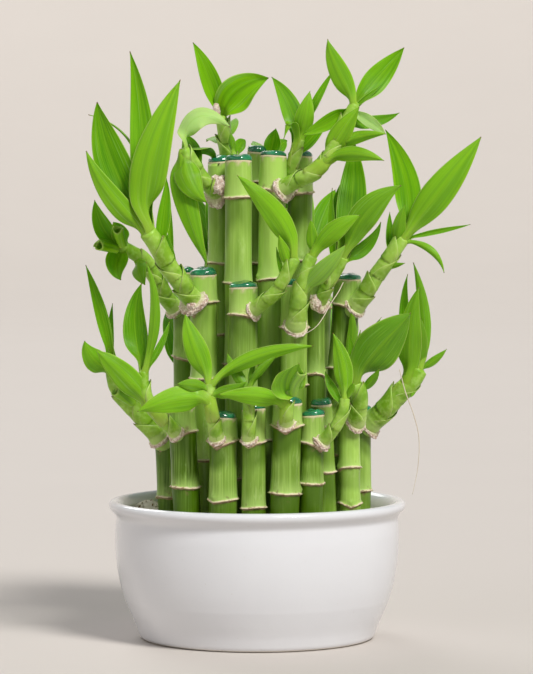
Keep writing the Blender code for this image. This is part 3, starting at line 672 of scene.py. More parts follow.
# each shoot: the stalk's path away from its cane, its radii at either end, how much callus swells its foot, then
# its leaves: share up the stalk, tip, width, bow of the middle off the straight line, tone (0 dark, 1 light green,
# 2 bleached) and, where it isn't 0, the turn of the face in degrees
shoots = {
    "short_1": {
        "stalk": ((-40, -12, 85), (-46, -15, 92), (-53, -17, 100), (-58, -18, 107), (-60, -18, 117)),
        "radii": (4.2, 3.3),
        "leaves": (
            (0.90, (-71, -24, 126), 9.9, (-2, -2, -2), 0.55),
            (1.00, (-71, -15, 157), 5.4, (1, 0, 0), 0.6),
            (0.97, (-60, -12, 141), 3.2, (-1, 0, 0), 0.5),
        ),
    },
    "short_2": {
        "stalk": ((-33, -35, 89), (-39, -40, 95), (-44, -43, 102), (-46, -43, 108), (-46, -42, 115)),
        "radii": (2.8, 2.1),
        "leaves": (
            (0.50, (-65, -48, 123), 10.5, (-1, -3, 2.5), 0.7),
            (1.00, (-47, -36, 150), 10.2, (-4, 2, 0), 0.3),
            (0.98, (-45, -44, 159), 4.5, (5, -2, 0), 0.45),
            (0.93, (-36, -24, 134), 3.3, (1, 0, -1), 0.35),
        ),
    },
    "short_3": {
        "stalk": ((-16, -44, 87), (-18, -49, 97), (-19, -50, 105), (-19, -49, 110)), "radii": (2.9, 2.2),
        "leaves": (
            (1.00, (-29, -46, 138), 9.7, (-1, -2, 0), 0.75),
            (0.88, (-32, -55, 110), 5.2, (0, -2, 1), 0.4),
            (0.82, (-4, -54, 111), 5.6, (0, -2, -2), 0.5),
            (0.72, (-48, -58, 99), 11.2, (0, -3, 2), 0.8),
            (0.97, (23, -49, 125), 6.5, (0, -4, 4), 0.75),
        ),
    },
    "short_4": {
        "stalk": ((-3, -46, 87), (-3, -50, 95), (-3, -50, 103), (-3, -49, 108)), "radii": (2.6, 2.0),
        "leaves": (
            (1.00, (9, -51, 122), 4.0, (-1, -2, 1), 0.4),
            (0.96, (-1, -47, 120), 2.8, (0, 0, 0), 0.3),
            (0.90, (-12, -44, 122), 4.9, (-1, -1, 0), 0.4),
        ),
    },
    "short_5": {
        "stalk": ((12, -46, 93), (12, -50, 98), (12, -51, 103)), "radii": (2.8, 2.3),
        "leaves": (
            (1.00, (17, -64, 119), 13.6, (-2, -2, 2), 1.2, -25),
            (0.85, (-15, -60, 106), 8.0, (0, -2, 1), 0.8),
        ),
    },
    "short_6": {
        "stalk": ((26, -39, 85), (31, -42, 90), (35, -44, 98), (36, -44, 104)), "radii": (2.6, 2.0), "callus": 0.6,
        "leaves": (
            (1.00, (31, -42, 130), 8.0, (1.5, -1, 0), 0.7),
            (0.90, (39, -49, 110), 3.2, (1, 0, 1), 0.8),
            (0.80, (28, -37, 114), 4.1, (-1, 0, 0), 0.5),
        ),
    },
    "short_7": {
        "stalk": ((30, -22, 91), (33, -19, 100), (36, -17, 108)), "radii": (2.0, 1.6),
        "leaves": (
            (1.00, (39, -17, 140), 5.0, (2, 0, 0), 0.3),
            (0.97, (43, -15, 130), 3.3, (1, 0, 0), 0.3),
            (0.94, (49, -11, 132), 3.7, (0, 2, 0), 0.3),
            (0.90, (52, -6, 135), 4.2, (-1, 2, 0), 0.4),
        ),
    },
    "short_8": {
        "stalk": ((41, -24, 93), (42, -28, 98), (42, -31, 104), (40, -32, 109)), "radii": (3.6, 3.0),
        "leaves": (
            (1.00, (63, -38, 138), 18.5, (-0.5, -3, 0.5), 0.0),
            (0.85, (38, -33, 129), 4.5, (0, 0, 0), 0.5),
            (0.70, (50, -37, 115), 4.1, (1, 0, 0), 0.5),
        ),
    },
    "short_9": {
        "stalk": ((48, -3, 91), (55, -8, 98), (60, -10, 104), (65, -11, 109), (68, -11, 114)), "radii": (4.6, 3.7),
        "leaves": (
            (1.00, (65, -12, 158), 5.8, (3, 0, 0), 0.5),
            (0.75, (67, -22, 148), 10.3, (-3, -2, 0), 0.45),
            (0.78, (63, -5, 153), 5.4, (-3, 2, 0), 0.35),
            (0.97, (79, -13, 122), 3.7, (0, 0, -1), 0.6),
            (0.80, (64, -14, 102), 2.9, (1, 0, 0), 0.4),
            (0.92, (68, -17, 135), 5.8, (1, 0, 0), 0.25),
        ),
    },
    "middle_1": {
        "stalk": ((-35, 3, 139), (-39, -2, 145), (-43, -8, 153), (-47, -12, 159), (-53, -16, 163), (-57, -19, 165)),
        "radii": (3.4, 2.8),
        "leaves": (
            (1.00, (-67, -20, 184), 8.0, (-2, 0, -2), 0.45),
            (0.97, (-66, -24, 165), 7.5, (-1, -2, 3), 0.6),
            (0.94, (-56, -26, 151), 9.5, (-3, -2, 0), 0.55),
            (0.72, (-46, -26, 149), 7.4, (-2, -4, 1), 0.45),
            (0.90, (-59, -27, 175), 7.5, (0, -3, 1), 0.7),
        ),
    },
    "middle_2": {
        "stalk": ((-25, -20, 141), (-30, -27, 148), (-36, -33, 157), (-41, -38, 166), (-45, -41, 172)),
        "radii": (4.0, 3.7), "callus": 1.0,
        "leaves": (
            (1.00, (-31, -42, 233), 15.4, (-4, -6, 0), 0.75),
            (0.97, (-65, -35, 224), 15.5, (-4, 2, 1), 0.35),
            (0.90, (-69, -47, 204), 9.0, (-3, -3, -2), 0.7),
            (0.98, (-52, -26, 245), 11.1, (3, 4, 0), 0.6),
            (0.94, (-69, -29, 219), 3.3, (10, 6, 9), 0.6),
            (0.45, (-36, -31, 187), 2.5, (0, 1, 0), 0.45),
            (0.40, (-37, -37, 171), 4.9, (-1, 0, 0), 0.4),
            (0.75, (-37, -34, 193), 5.7, (1, 0, 0), 0.55),
        ),
    },
    "middle_3": {
        "stalk": ((0, -33, 140), (5, -38, 144), (10, -41, 150), (14, -43, 157), (16, -43, 161)), "radii": (3.0, 2.3),
        "leaves": (
            (1.00, (-8, -47, 194), 10.1, (2, -4, 2), 0.8),
            (0.80, (9, -48, 170), 4.9, (0, 0, 0), 0.95),
            (0.60, (8, -44, 165), 2.2, (0, 0, 0), 0.2),
        ),
    },
    "middle_4": {
        "stalk": ((16, -32, 133), (17, -36, 142), (19, -38, 151), (21, -39, 158), (23, -39, 162)), "radii": (4.0, 2.6),
        "leaves": (
            (1.00, (22, -41, 176), 4.9, (0, 0, 0), 0.75),
            (0.97, (42, -44, 178), 8.1, (-1, -3, 2), 0.8),
            (0.45, (36, -49, 166), 7.7, (0, -3, -1), 1.3),
        ),
    },
    "middle_5": {
        "stalk": ((26, -22, 142), (29, -27, 149), (33, -29, 156), (36, -30, 161)), "radii": (2.6, 2.3), "callus": 0.8,
        "leaves": (
            (1.00, (59, -36, 190), 11.8, (-4, -3, 3), 0.35),
            (0.90, (51, -25, 175), 5.8, (2, 2, -3), 0.2),
            (0.83, (40, -16, 209), 12.4, (2, 3, 0), 0.3),
            (0.80, (37, -8, 194), 10.8, (-1, 4, 0), 0.1),
            (0.60, (31, -30, 189), 3.7, (-1, 0, 0), 0.4),
        ),
    },
    "middle_6": {
        "stalk": ((41, -13, 140), (46, -17, 147), (51, -20, 155), (56, -22, 162), (61, -23, 169)), "radii": (3.9, 2.8),
        "leaves": (
            (1.00, (53, -18, 213), 11.2, (5, 4, 0), 0.75),
            (0.98, (92, -29, 210), 13.1, (0, -4, 0), 0.75),
            (0.95, (88, -24, 174), 2.5, (0, 0, 0), 0.6),
            (0.93, (77, -27, 154), 3.3, (3, -2, 4), 0.7),
            (0.85, (61, -27, 182), 5.8, (-1, -2, 0), 0.4),
            (0.70, (55, -18, 179), 3.7, (0, 0, 0), 0.5),
            (0.55, (61, -25, 158), 2.8, (0, 0, 0), 0.4),
        ),
    },
    "tall_1": {
        "stalk": ((-17, -8, 187), (-21, -13, 191), (-26, -17, 198), (-31, -18, 205)),
        "radii": (3.3, 2.8), "callus": 1.0,
        "leaves": (
            (1.00, (-11, -16, 214), 6.5, (-4, -1, 10), 1.65, -50),
            (0.95, (-17, -3, 201), 9.0, (2, 4, 3), 0.1),
            (0.90, (-20.5, -25, 183), 11.5, (-3.3, -4, -1), 0.7),
            (0.97, (-20.3, -21, 157), 10.5, (-4, -4, 3), 0.6),
            (0.50, (-30, -4, 211), 6.0, (1, 3, 2), 0.3),
        ),
    },
    "tall_2": {
        "stalk": ((-9, -7, 188), (-9, -3, 196), (-10, -1, 204)), "radii": (1.8, 1.4),
        "leaves": ((1.00, (-11, -1, 212), 3.4, (0, 0, 0), 0.5), (0.80, (-5, 10, 209), 5.1, (0, 2, 2), 0.4)),
    },
    "tall_3": {
        "stalk": ((11, -18, 189), (19, -22, 193), (24, -24, 196), (29, -25, 201), (33, -25, 209), (38, -24, 219),
                  (41, -23, 224)),
        "radii": (3.4, 2.4), "callus": 0.6,
        "leaves": (
            (0.45, (52, -35, 200), 6.5, (-1, -4, 3), 0.75),
            (0.55, (53, -30, 211), 5.3, (-1, -1, 2), 0.75),
            (0.80, (59, -15, 220), 5.4, (0, 3, -2), 0.5),
            (1.00, (29, -26, 250), 8.6, (-2, -2, 0), 0.75),
            (0.98, (61, -14, 247), 10.4, (0, 3, 0), 0.6),
            (0.97, (19, -22, 211), 6.6, (0, 0, -1), 0.8),
            (0.95, (51, -20, 231), 2.2, (0, 0, 0), 0.4),
            (0.93, (53, -25, 211), 5.0, (1, 1, 0), 1.6),
            (0.42, (42, -30, 222), 9.0, (-1, -1, 0), 0.9),
        ),
    },
    "tall_4": {
        "stalk": ((13, -8, 190), (14, -11, 196), (16, -14, 203), (18, -15, 210)), "radii": (2.5, 2.2),
        "leaves": (
            (0.80, (6, -8, 235), 8.8, (3, 3, 1), 0.6),
            (0.90, (22, -18, 229), 8.3, (0, -4, 0), 0.8),
            (0.70, (11, -22, 209), 5.0, (1, -2, 11), 0.75),
            (1.00, (32, -9, 238), 3.7, (-1, 2, 0), 0.6),
            (0.60, (30, -14, 218), 5.8, (0, 0, 0), 0.6),
        ),
    },
    "tall_5": {
        "stalk": ((2, 18, 191), (3, 17, 196), (5, 15, 201)), "radii": (2.2, 1.8),
        "leaves": (
            (1.00, (8, 11, 214), 7.2, (0, 0, 0), 0.3),
            (0.90, (-2, 42, 209), 7.8, (0, 6, 2), 0.4),
            (0.80, (13, 38, 209), 6.9, (0, 6, 2), 0.3),
        ),
    },
    "tall_6": {
        "stalk": ((-12, 20.5, 187), (-12, 21.5, 196), (-13, 18, 205), (-14, 14, 212), (-15, 11, 219)),
        "radii": (3.2, 2.6),
        "leaves": (
            (1.00, (-27, 8, 250), 8.4, (1, 0, 1), 0.8),
            (0.97, (5, 4, 235), 15.1, (-3, 0, 3), 1.0),
            (0.60, (-22, 40, 209), 7.8, (0, 4, 3), 0.4),
            (0.70, (-9, 46, 219), 6.9, (0, 6, 2), 0.4),
        ),
    },
}

# shoots at the back lean to a point behind the bundle and open leaves left and right in turn
backShoots = {
    "point": (3, 96),
    "out": 9.0,
    "rise": 20.0,
    "radii": (2.8, 2.1),
    "start": 4.0,  # mm from the cane's axis to the stalk's first point
    # share up the stalk, turn from the stalk's heading, rise, both in degrees, length, width
    "leaves": ((1.0, 4, 68, 50, 9.5), (0.95, 44, 46, 40, 10.5), (0.88, -42, 50, 42, 10.0), (0.7, 20, 22, 28, 8.5),
               (0.6, -24, 14, 22, 7.5)),
}

leaf = {
    "rows": 38,
    "footRows": 7,
    "cols": 15,
    "thick": 0.34,
    "belly": 0.46,  # share of its length at which a leaf is widest
    "sheathLength": 8.0,
    "mouth": 0.86,  # a leaf from higher up the stalk than this share comes out of the stalk's mouth
    "wrap": 4.2,  # radians of stalk that a side leaf's foot clasps
    "mouthWrap": 3.3,  # the same for a leaf out of the mouth
    "sheathWrap": 5.4,  # and at the low end of either's sheath
    "gutter": 0.75,  # radians that the blade is rolled through
    "rolledGutter": 2.4,  # the same for a young leaf, which is narrower than `rolledWidth`
    "rolledWidth": 4.2,
    "opens": 0.2,  # share of its length over which a blade opens from the stalk
    "wave": 0.03,  # waviness of the margins, as a share of the width
    "keel": (0.05, 0.11),  # depth of the keel at the tip and what the foot adds to it, as shares of the width
    "rib": 0.30,  # mm that the midrib stands out underneath
    "twist": 16,  # most that a blade turns along its length, in degrees
    "greens": ((0.028, 0.140, 0.0005), (0.205, 0.50, 0.0005), (0.50, 0.72, 0.26)),  # dark, light, bleached
}


def bladeNormal(chord, bow, turn):
    # the upper face's direction: towards the front for a straight leaf, into the bend for a bent one, then turned
    side = np.cross(chord, (0, 1, 0))
    length = np.linalg.norm(chord)
    if np.linalg.norm(bow) > 0.25 * length:
        side = np.cross(chord, bow)
    elif np.linalg.norm(side) < 0.5 * length:
        side = np.cross(chord, (0, 0, 1))
    side = unit(side)
    return turnedPair(-math.radians(turn), unit(np.cross(chord, side)), side)[0]


def leafLine(stem, share, tip, bow):
    # a run up the stalk, then a cubic curve that leaves along the stalk and bows on its way to the tip. Gives the
    # points, the stalk's direction, the way the blade sets off and its chord
    foot = resample(stem, np.linspace(max(share - leaf["sheathLength"] / lengthsAlong(stem)[-1], 0.02), share,
                                      leaf["footRows"] + 1))
    root, rise = foot[-1], unit(foot[-1] - foot[-2])
    chord = tip - root
    knee = (root + tip) / 2 + 2 * bow
    first = 0.65 * (root + (knee - root) * 2 / 3) + 0.35 * (root + rise * np.linalg.norm(chord) * 0.25)
    second = tip + (knee - tip) * 2 / 3
    t = np.linspace(0, 1, leaf["rows"])[:, None]
    blade = (1 - t) ** 3 * root + 3 * t * (1 - t) ** 2 * first + 3 * t**2 * (1 - t) * second + t**3 * tip
    return np.vstack([foot[:-1], blade]), rise, unit(first - root), chord


def leafPart(stem, share, radius, seed, tip, width, bow, tone, turn=0):
    # A sheath that hugs the stalk, then the blade along its line to its tip. The section is an arc, wrapped
    # round the stalk at the foot and opening to a shallow gutter with a keel, between two skins a leaf apart.
    # The blade's width rises as a sine to the belly, then falls as one less a power of the rest.
    # t runs 0 to 1 along the blade, low 1 to 0 up the sheath, across -1 to 1 over the width
    rng = np.random.default_rng(seed)
    tip, bow = vec(*tip), vec(*bow)
    atMouth = share > leaf["mouth"]
    hold = min(radius * (0.70 if atMouth else 1.06) + 0.12, 0.32 * width + 0.5)  # radius that the foot clasps
    axis, rise, away, chord = leafLine(stem, share, tip, bow)
    along = tangentsOf(axis)
    t = np.concatenate([np.linspace(-1, 0, leaf["footRows"] + 1)[:-1], np.linspace(0, 1, leaf["rows"])])
    low, t = np.maximum(-t, 0), np.maximum(t, 0)
    # the upper face looks into the stalk at the foot, then turns to the blade's own direction
    out = squareTo(rise, away)
    out = unit(squareTo(rise, out + 0.12 * vec(0, -1 if out[1] <= 0 else 1, 0)))
    face = bladeNormal(chord, bow, turn)
    if face @ -out < 0 and abs(turn) < 1:
        face = -face
    mix = smooth(0.0, 0.38, t)[:, None]
    normal = unit(squareTo(along, unit(-out * (1 - mix) + face * mix)))
    twist = (math.radians(rng.uniform(-leaf["twist"], leaf["twist"])) * smooth(0.3, 1.0, t))[:, None]
    side, normal = turnedPair(twist, np.cross(normal, along), normal)
    middle = axis - normal * (hold * (1 - smooth(0.0, 0.25, t)))[:, None]
    # width, and the radians that the section bends through
    belly = leaf["belly"] + rng.uniform(-0.05, 0.05)
    up, down = np.clip(t / belly, 0, 1), np.clip((t - belly) / (1 - belly), 0, 1)
    wide = np.maximum(width / math.cos(math.radians(turn)) * np.sin(math.pi / 2 * up) * (1 - down**1.8), 0.3)
    blend = np.clip(t / leaf["opens"], 0, 1)
    wrap = taper((leaf["mouthWrap"] if atMouth else leaf["wrap"], leaf["sheathWrap"]), low)
    gutter = leaf["rolledGutter"] if width < leaf["rolledWidth"] else leaf["gutter"]
    gutter = gutter * (1 - 0.55 * smooth(0.2, 0.7, t)) + 0.25 * smooth(0.8, 1, t)
    full = taper((wrap * hold * (1 + 0.04 * low), wide), blend)[:, None]
    bend = taper((wrap, gutter), blend)[:, None]
    # the section: an arc, with waves at its margins and a keel along its middle
    even = np.linspace(-1, 1, leaf["cols"])
    across = (np.sin(even * math.pi / 2) + even) / 2
    s, k = across * full / 2, bend / full
    wave = leaf["wave"] * width * np.sin(fullTurn * (t * rng.uniform(1.6, 2.8) + rng.uniform()))
    wave = np.outer(wave * smooth(0.25, 0.5, t), across**2 * np.sign(across + 0.3 * rng.normal()))
    keel = leaf["keel"][0] + leaf["keel"][1] * (1 - t) ** 2
    keel = width * np.outer(keel * blend, np.sqrt(across**2 + 0.01) - 0.1)
    x, y = np.sin(k * s) / k, (1 - np.cos(k * s)) / k + wave + keel
    side, normal = side[:, None], normal[:, None]
    skin = middle[:, None] + side * x[..., None] + normal * y[..., None]
    upward = normal * np.cos(k * s)[..., None] - side * np.sin(k * s)[..., None]
    thick = leaf["thick"] * np.outer(1 - 0.5 * t, 0.35 + 0.65 * (1 - across**2))
    rib = leaf["rib"] * bell(s, 0.7) * ((1 - t) ** 0.7)[:, None] * min(width / 8, 1)
    top, bottom = skin + upward * (thick / 2)[..., None], skin - upward * (thick / 2 + rib)[..., None]
    both = np.concatenate([across, across[::-1]])
    under = np.repeat([1.0, 0.0], leaf["cols"])
    place = triple(both, t[:, None], 0)
    return closedPart(np.concatenate([bottom, top[:, ::-1]], 1), 0, place, triple(tone, under, low[:, None]))


stalk = {
    "rows": 90,
    "sides": 28,
    "flare": 0.14,  # how much wider a stalk's foot is
    "mouth": 0.45,  # how much narrower its very end is
    "oval": 0.035,  # how far it is out of round
    "stepSpace": 3.6,  # mm between the faint steps where old leaves were shed
    "scaleSpace": 8.0,  # mm from one scale leaf to the next
    "scaleLength": 12.0,
    "scaleWrap": 2.5,  # radians either side of its middle that a scale's foot clasps
    "scaleGap": 0.08,  # how far a scale's skin stands off the stalk at its foot
    "scaleLift": 0.8,  # and at its tip
    "skin": ((0.20, 0.44, 0.004), (0.40, 0.66, 0.09)),
}


def stalkPart(path, radii, footAt, seed, steps):
    # a tube with faint steps where old leaves were shed, flared at its foot and drawn in at its mouth
    rng = np.random.default_rng(seed)
    share = np.linspace(0, 1, stalk["rows"])
    reach = lengthsAlong(path)[-1]
    above = share * reach - footAt
    off = np.abs(share[:, None] - np.array(steps)).min(1) * reach
    size = taper(radii, share) * (1 + 0.03 * bell(off, 0.5))
    size = size * (1 + stalk["flare"] * bell(np.maximum(above, 0), 3.2))
    size = size * (1 - stalk["mouth"] * smooth(0.965, 1.0, share))
    oval = 1 + stalk["oval"] * np.sin(ringTurns(stalk["sides"]) * 2 + rng.uniform(0, 6))
    tube = tubeRings(resample(path, share), np.outer(size, oval), stalk["sides"])
    return closedPart(tube, 1, triple(0, above[:, None], off[:, None] + 0.3), (rng.uniform(), 0, 0))


def scalePart(path, start, radii, facing, length, tone, seed):
    # a scale leaf: a pointed sheet wrapped on the stalk, its half angle falling from foot to tip, its tip lifted
    rng = np.random.default_rng(seed)
    reach = lengthsAlong(path)[-1]
    t, c = np.linspace(0, 1, 12), np.linspace(-1, 1, 11)
    height = start + t * length
    shares = np.clip(height / reach, 0, 1)
    along = tangentsOf(resample(path, np.clip(shares, 0.01, 0.985) - 0.005 + 0.01 * t))
    line = resample(path, shares) + along * np.maximum(height - reach, 0)[:, None]
    half = stalk["scaleWrap"] * (1 - t**1.8) + 0.05
    size = taper(radii, shares)
    lift = stalk["scaleGap"] + stalk["scaleLift"] * t**2 * rng.uniform(0.6, 1.4)
    outward = rays(along, facing + np.outer(half, c))
    thick = (0.22 * (1 - 0.7 * c**2))[:, None]
    inner = line[:, None] + outward * ((size + lift)[:, None, None] - 0.1)
    rings = np.concatenate([inner[:, ::-1], inner + outward * (thick + 0.1)], 1)
    edge = np.outer(half * size, 1 - np.abs(c))  # mm to the scale's margin
    both = np.concatenate([edge[:, ::-1], edge], 1)
    return closedPart(rings, 1, triple(0, height[:, None], both), triple(tone, t[:, None], 1))


def scaleParts(path, footAt, upTo, radii, seed):
    # scale leaves up the stalk by turns on either flank
    rng = np.random.default_rng(seed + 40)
    starts = np.arange(footAt + 0.5, upTo - 1.0, stalk["scaleSpace"])
    flank = rng.integers(0, 2)
    return [
        scalePart(path, start, radii, math.pi * ((number + flank) % 2) + rng.uniform(-0.7, 0.7),
                  stalk["scaleLength"] * rng.uniform(0.7, 1.1), rng.uniform(0.2, 1), seed + 50 + number)
        for number, start in enumerate(starts)
    ]


collar = {
    "rows": 18,
    "sides": 56,
    "hang": 2.0,  # mm that a collar's lowest point hangs down
    "dry": ((0.50, 0.34, 0.26), (0.90, 0.80, 0.72)),
    "pits": (0.42, 0.26, 0.18),
    "greenEdge": (0.62, 0.66, 0.34),
}


def collarPart(start, way, radius, bulk, seed):
    # ragged callus round a shoot's foot: a short flared ring, drawn down to a point and pushed about by two noises
    rng = np.random.default_rng(seed)
    share = np.linspace(0, 1, collar["rows"])
    line = start + np.outer(share * (1.6 + radius * 0.55 * bulk) - 0.4 - radius * 0.25, way)
    bulge = np.sin(math.pi * share) ** 0.6
    size = radius * (1 + 0.30 * bulk * bulge) + 0.45 * bulge
    uneven = 1 + 0.04 * np.sin(ringTurns(collar["sides"]) * 3 + rng.uniform(0, 6))
    rings = tubeRings(line, np.outer(size, uneven), collar["sides"])
    push = unit(rings - line[:, None])
    rough = ripple(rings, 1.5, seed) * (0.42 + 0.2 * bulk) + ripple(rings, 4.0, seed + 1) * 0.45 * bulk
    bulge = bulge[:, None]
    rings = rings + (push + 0.5 * way) * (rough * bulge)[..., None]
    rings[..., 2] -= np.maximum(-push[..., 2], 0) ** 4 * collar["hang"] * bulge
    return closedPart(rings, 2, triple(0, share[:, None], rough))


def backShoot(shape):
    # stalk and leaves by rule, from the cane's topmost scar
    start = axisAt(shape, shape["scars"][-1])
    lean = math.atan2(backShoots["point"][1] - start[1], backShoots["point"][0] - start[0])
    outward = vec(math.cos(lean), math.sin(lean), 0)
    steps = ((0.0, 0.0), (0.6, 0.4), (1.0, 1.0))  # shares of the way out and of the rise
    path = [start + outward * (backShoots["start"] + out * backShoots["out"]) + vec(0, 0, rise * backShoots["rise"])
            for out, rise in steps]
    leaves = []
    for share, turn, rise, length, width in backShoots["leaves"]:
        heading, lift = lean + math.radians(turn), math.radians(rise)
        way = vec(math.cos(heading) * math.cos(lift), math.sin(heading) * math.cos(lift), math.sin(lift))
        tip = resample(np.array(path), [share])[0] + way * length
        leaves.append((share, tip, width, (0, 0, 0.1 * length), 0.5))
    return {"stalk": path, "radii": backShoots["radii"], "leaves": leaves}


def shootParts(plan, shape, seed):
    # a shoot's stalk from inside its cane, then its callus, scale leaves and leaves. Also gives the side of the
    # cane that it leaves from and the height of its underside there
    path, radii = np.array(plan["stalk"], float), plan["radii"]
    scar = axisAt(shape, path[0][2])
    inward = unit((scar - path[0]) * (1, 1, 0))
    gap = np.linalg.norm((scar - path[0])[:2])
    root = path[0] + inward * (gap - shape["radius"] * 0.55) - vec(0, 0, 1.5)
    line = spline(np.vstack([root, path]), 120)
    reach = lengthsAlong(line)[-1]
    lead = np.linalg.norm(path[0] - root) / reach
    footAt = max(lead * reach - (gap - shape["radius"]), 0.5)  # mm up the line where it comes out of the cane
    shares = [lead + (1 - lead) * item[0] * 0.97 for item in plan["leaves"]]
    low = [max(share - leaf["sheathLength"] / reach, 0.02) for share in shares]
    shed = list(np.arange(lead + 2.5 / reach, min(low), stalk["stepSpace"] / reach))
    way = unit(line[18] - line[2])
    foot = resample(line, [footAt / reach])[0]
    parts = [stalkPart(line, radii, footAt, seed, shed + low),
             collarPart(foot, way, radii[0] * (1 + stalk["flare"]), plan.get("callus", 0.15), seed + 5)]
    parts += scaleParts(line, footAt, min(max(low) * reach, reach - 3), radii, seed)
    for order, (item, share) in enumerate(zip(plan["leaves"], shares)):
        parts.append(leafPart(line, share, taper(radii, share), seed + 20 + order, *item[1:]))
    return parts, math.atan2(-inward[1], -inward[0]), path[0][2] - radii[0] * 1.35


def leafMaterial():
    # veins, clouds and pale patches of painted sheen are noise on a plane of across and along, so that they run with
    # the blade
    material, node, link = startMaterial("leafSkin", {
        "Coat Weight": 0.05, "Coat Roughness": 0.18, "Specular IOR Level": 0.14,
        "Subsurface Weight": 0.25, "Subsurface Radius": (0.5, 1.0, 0.1), "Subsurface Scale": 0.0012})
    across, along, _ = attribute(node, "place")
    tone, under, low = attribute(node, "look")
    edge = node("Math", {"operation": "ABSOLUTE"}, i0=across).outputs[0]
    lane = node("CombineXYZ", i0=times(node, across, 9.0), i1=times(node, along, 0.9), i2=times(node, tone, 37.0))
    vein, broad, paintedSheen = (
        node("TexNoise", i0=lane.outputs[0], Scale=scale, Detail=detail, Roughness=rough).outputs["Fac"]
        for scale, detail, rough in ((4.2, 3.0, 0.5), (0.45, 2.0, 0.5), (1.1, 3.0, 0.6)))
    dark, light, bleached = leaf["greens"]
    green = washes(node, blendColour(node, tone, dark, light),
                   (vein, 0.35, 0.7, 0, 0.34, (0.30, 0.58, 0.006)),
                   (broad, 0.40, 0.70, 0, 0.6, (0.06, 0.22, 0.0005)))
    green = blendColour(node, times(node, under, 0.22), green, (0.30, 0.54, 0.05))
    rib = spread(node, edge, 0.0, 0.10, 0.25, 0)
    green = washes(node, green,
                   # pale whitish patches of painted sheen
                   (paintedSheen, 0.56, 0.74, 0, 0.45, (0.34, 0.56, 0.16)),
                   (tone, 1.0, 2.0, 0, 1, bleached),
                   (edge, 0.0, 0.10, 0.25, 0, (0.30, 0.56, 0.02)),  # rib
                   (along, 0.0, 0.26, 0.7, 0, (0.36, 0.57, 0.06)),  # pale foot
                   (edge, 0.93, 1.0, 0, 0.6, (0.50, 0.70, 0.16)),  # margin
                   (low, 0.2, 1.0, 0, 0.45, (0.48, 0.60, 0.16)),  # sheath
                   (along, 0.978, 0.995, 0, 1, (0.17, 0.10, 0.03)))  # dry point
    link(green, "Base Color")
    link(spread(node, vein, 0.2, 0.8, 0.26, 0.42), "Roughness")
    bump(node, link, plus(node, vein, times(node, rib, -0.8)), 0.5, 0.0003)
    return material


def stalkMaterial():
    material, node, link = startMaterial("stalkSkin", {
        "Roughness": 0.38, "Coat Weight": 0.10, "Coat Roughness": 0.35, "Specular IOR Level": 0.25,
        "Subsurface Weight": 0.2, "Subsurface Radius": (0.6, 1.0, 0.2), "Subsurface Scale": 0.0012})
    _, reach, off = attribute(node, "place")
    tone, tipward, scale = attribute(node, "look")
    skin = washes(node, blendColour(node, tone, *stalk["skin"]),
                  (objectNoise(node, 500, 3), 0.4, 0.7, 0, 0.45, (0.50, 0.75, 0.19)),
                  (objectNoise(node, 170, 2), 0.45, 0.72, 0, 0.65, (0.12, 0.30, 0.001)),
                  (off, 0.3, 2.2, 0.35, 0, (0.40, 0.58, 0.12)),  # by a step or a scale's margin
                  (reach, 0.5, 7.0, 0.6, 0, (0.56, 0.73, 0.25)))  # pale foot
    rim = times(node, spread(node, off, 0.10, 0.40, 0.6, 0), scale)
    skin = blendColour(node, rim, skin, (0.56, 0.68, 0.26))
    link(washes(node, skin, (tipward, 0.84, 0.99, 0, 0.85, (0.14, 0.12, 0.03))), "Base Color")
    bump(node, link, objectNoise(node, 900, 2), 0.2, 0.0003)
    return material


def collarMaterial():
    material, node, link = startMaterial("callusSkin", {"Roughness": 0.8})
    _, share, rough = attribute(node, "place")
    grain = objectNoise(node, 1400, 3)
    shadow, light = collar["dry"]
    tint = washes(node, shadow,
                  (grain, 0.3, 0.7, 0, 1, light),
                  (rough, -0.3, 0.05, 0.6, 0, collar["pits"]),
                  (share, 0.75, 1.0, 0, 0.6, collar["greenEdge"]))
    link(tint, "Base Color")
    bump(node, link, grain, 0.6, 0.0005)
    return material


def buildPlants():
    # every cane and its shoot, each as one object
    caneLook = [caneMaterial(), waxMaterial()]
    shootLook = [leafMaterial(), stalkMaterial(), collarMaterial()]
    nodes = sorted(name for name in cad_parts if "_cane_" in name)
    tones = np.random.default_rng(5).uniform(0.25, 0.75, len(nodes))
    for order, (node, tone) in enumerate(zip(nodes, tones)):
        shape = readCane(node)
        name = node.replace("_cane", "")
        parts, side, footLow = shootParts(shoots.get(name) or backShoot(shape), shape, 100 * order)
        caneLot = caneParts(shape, side, footLow, cane["tones"].get(name, tone), 7 + order)
        seat(meshObject(node.replace("_cane_", "Cane"), caneLot, caneLook), "cane", node)
        thing = meshObject(node.replace("_cane_", "Shoot"), parts, shootLook)
        seat(thing, "leaf", node.replace("_cane_", "_shoot_"))


buildPlants()
print("canes and shoots have grown")


lumps = {
    # centre and half sizes in mm of each knot of dry callus
    "knots": (
        ((-15.5, -12.5, 190.0), (4.2, 3.3, 4.2)),
        ((-26.8, -24.5, 142.0), (2.2, 2.6, 3.8)),
        ((25.8, -39.5, 86.5), (2.6, 2.0, 2.2)),
        ((24.4, -24.5, 141.5), (2.4, 2.0, 3.2)),
        ((12.4, -15.0, 188.0), (2.0, 2.2, 3.0)),
        ((-10.9, -16.2, 152.5), (2.0, 1.3, 3.8)),
        ((-2.8, -14.6, 149.0), (1.3, 1.2, 2.6)),
        ((-17.0, 9.6, 221.0), (1.6, 1.6, 3.2)),
    ),
    "rows": 40,
    "sides": 56,
    "seed": 31,
}


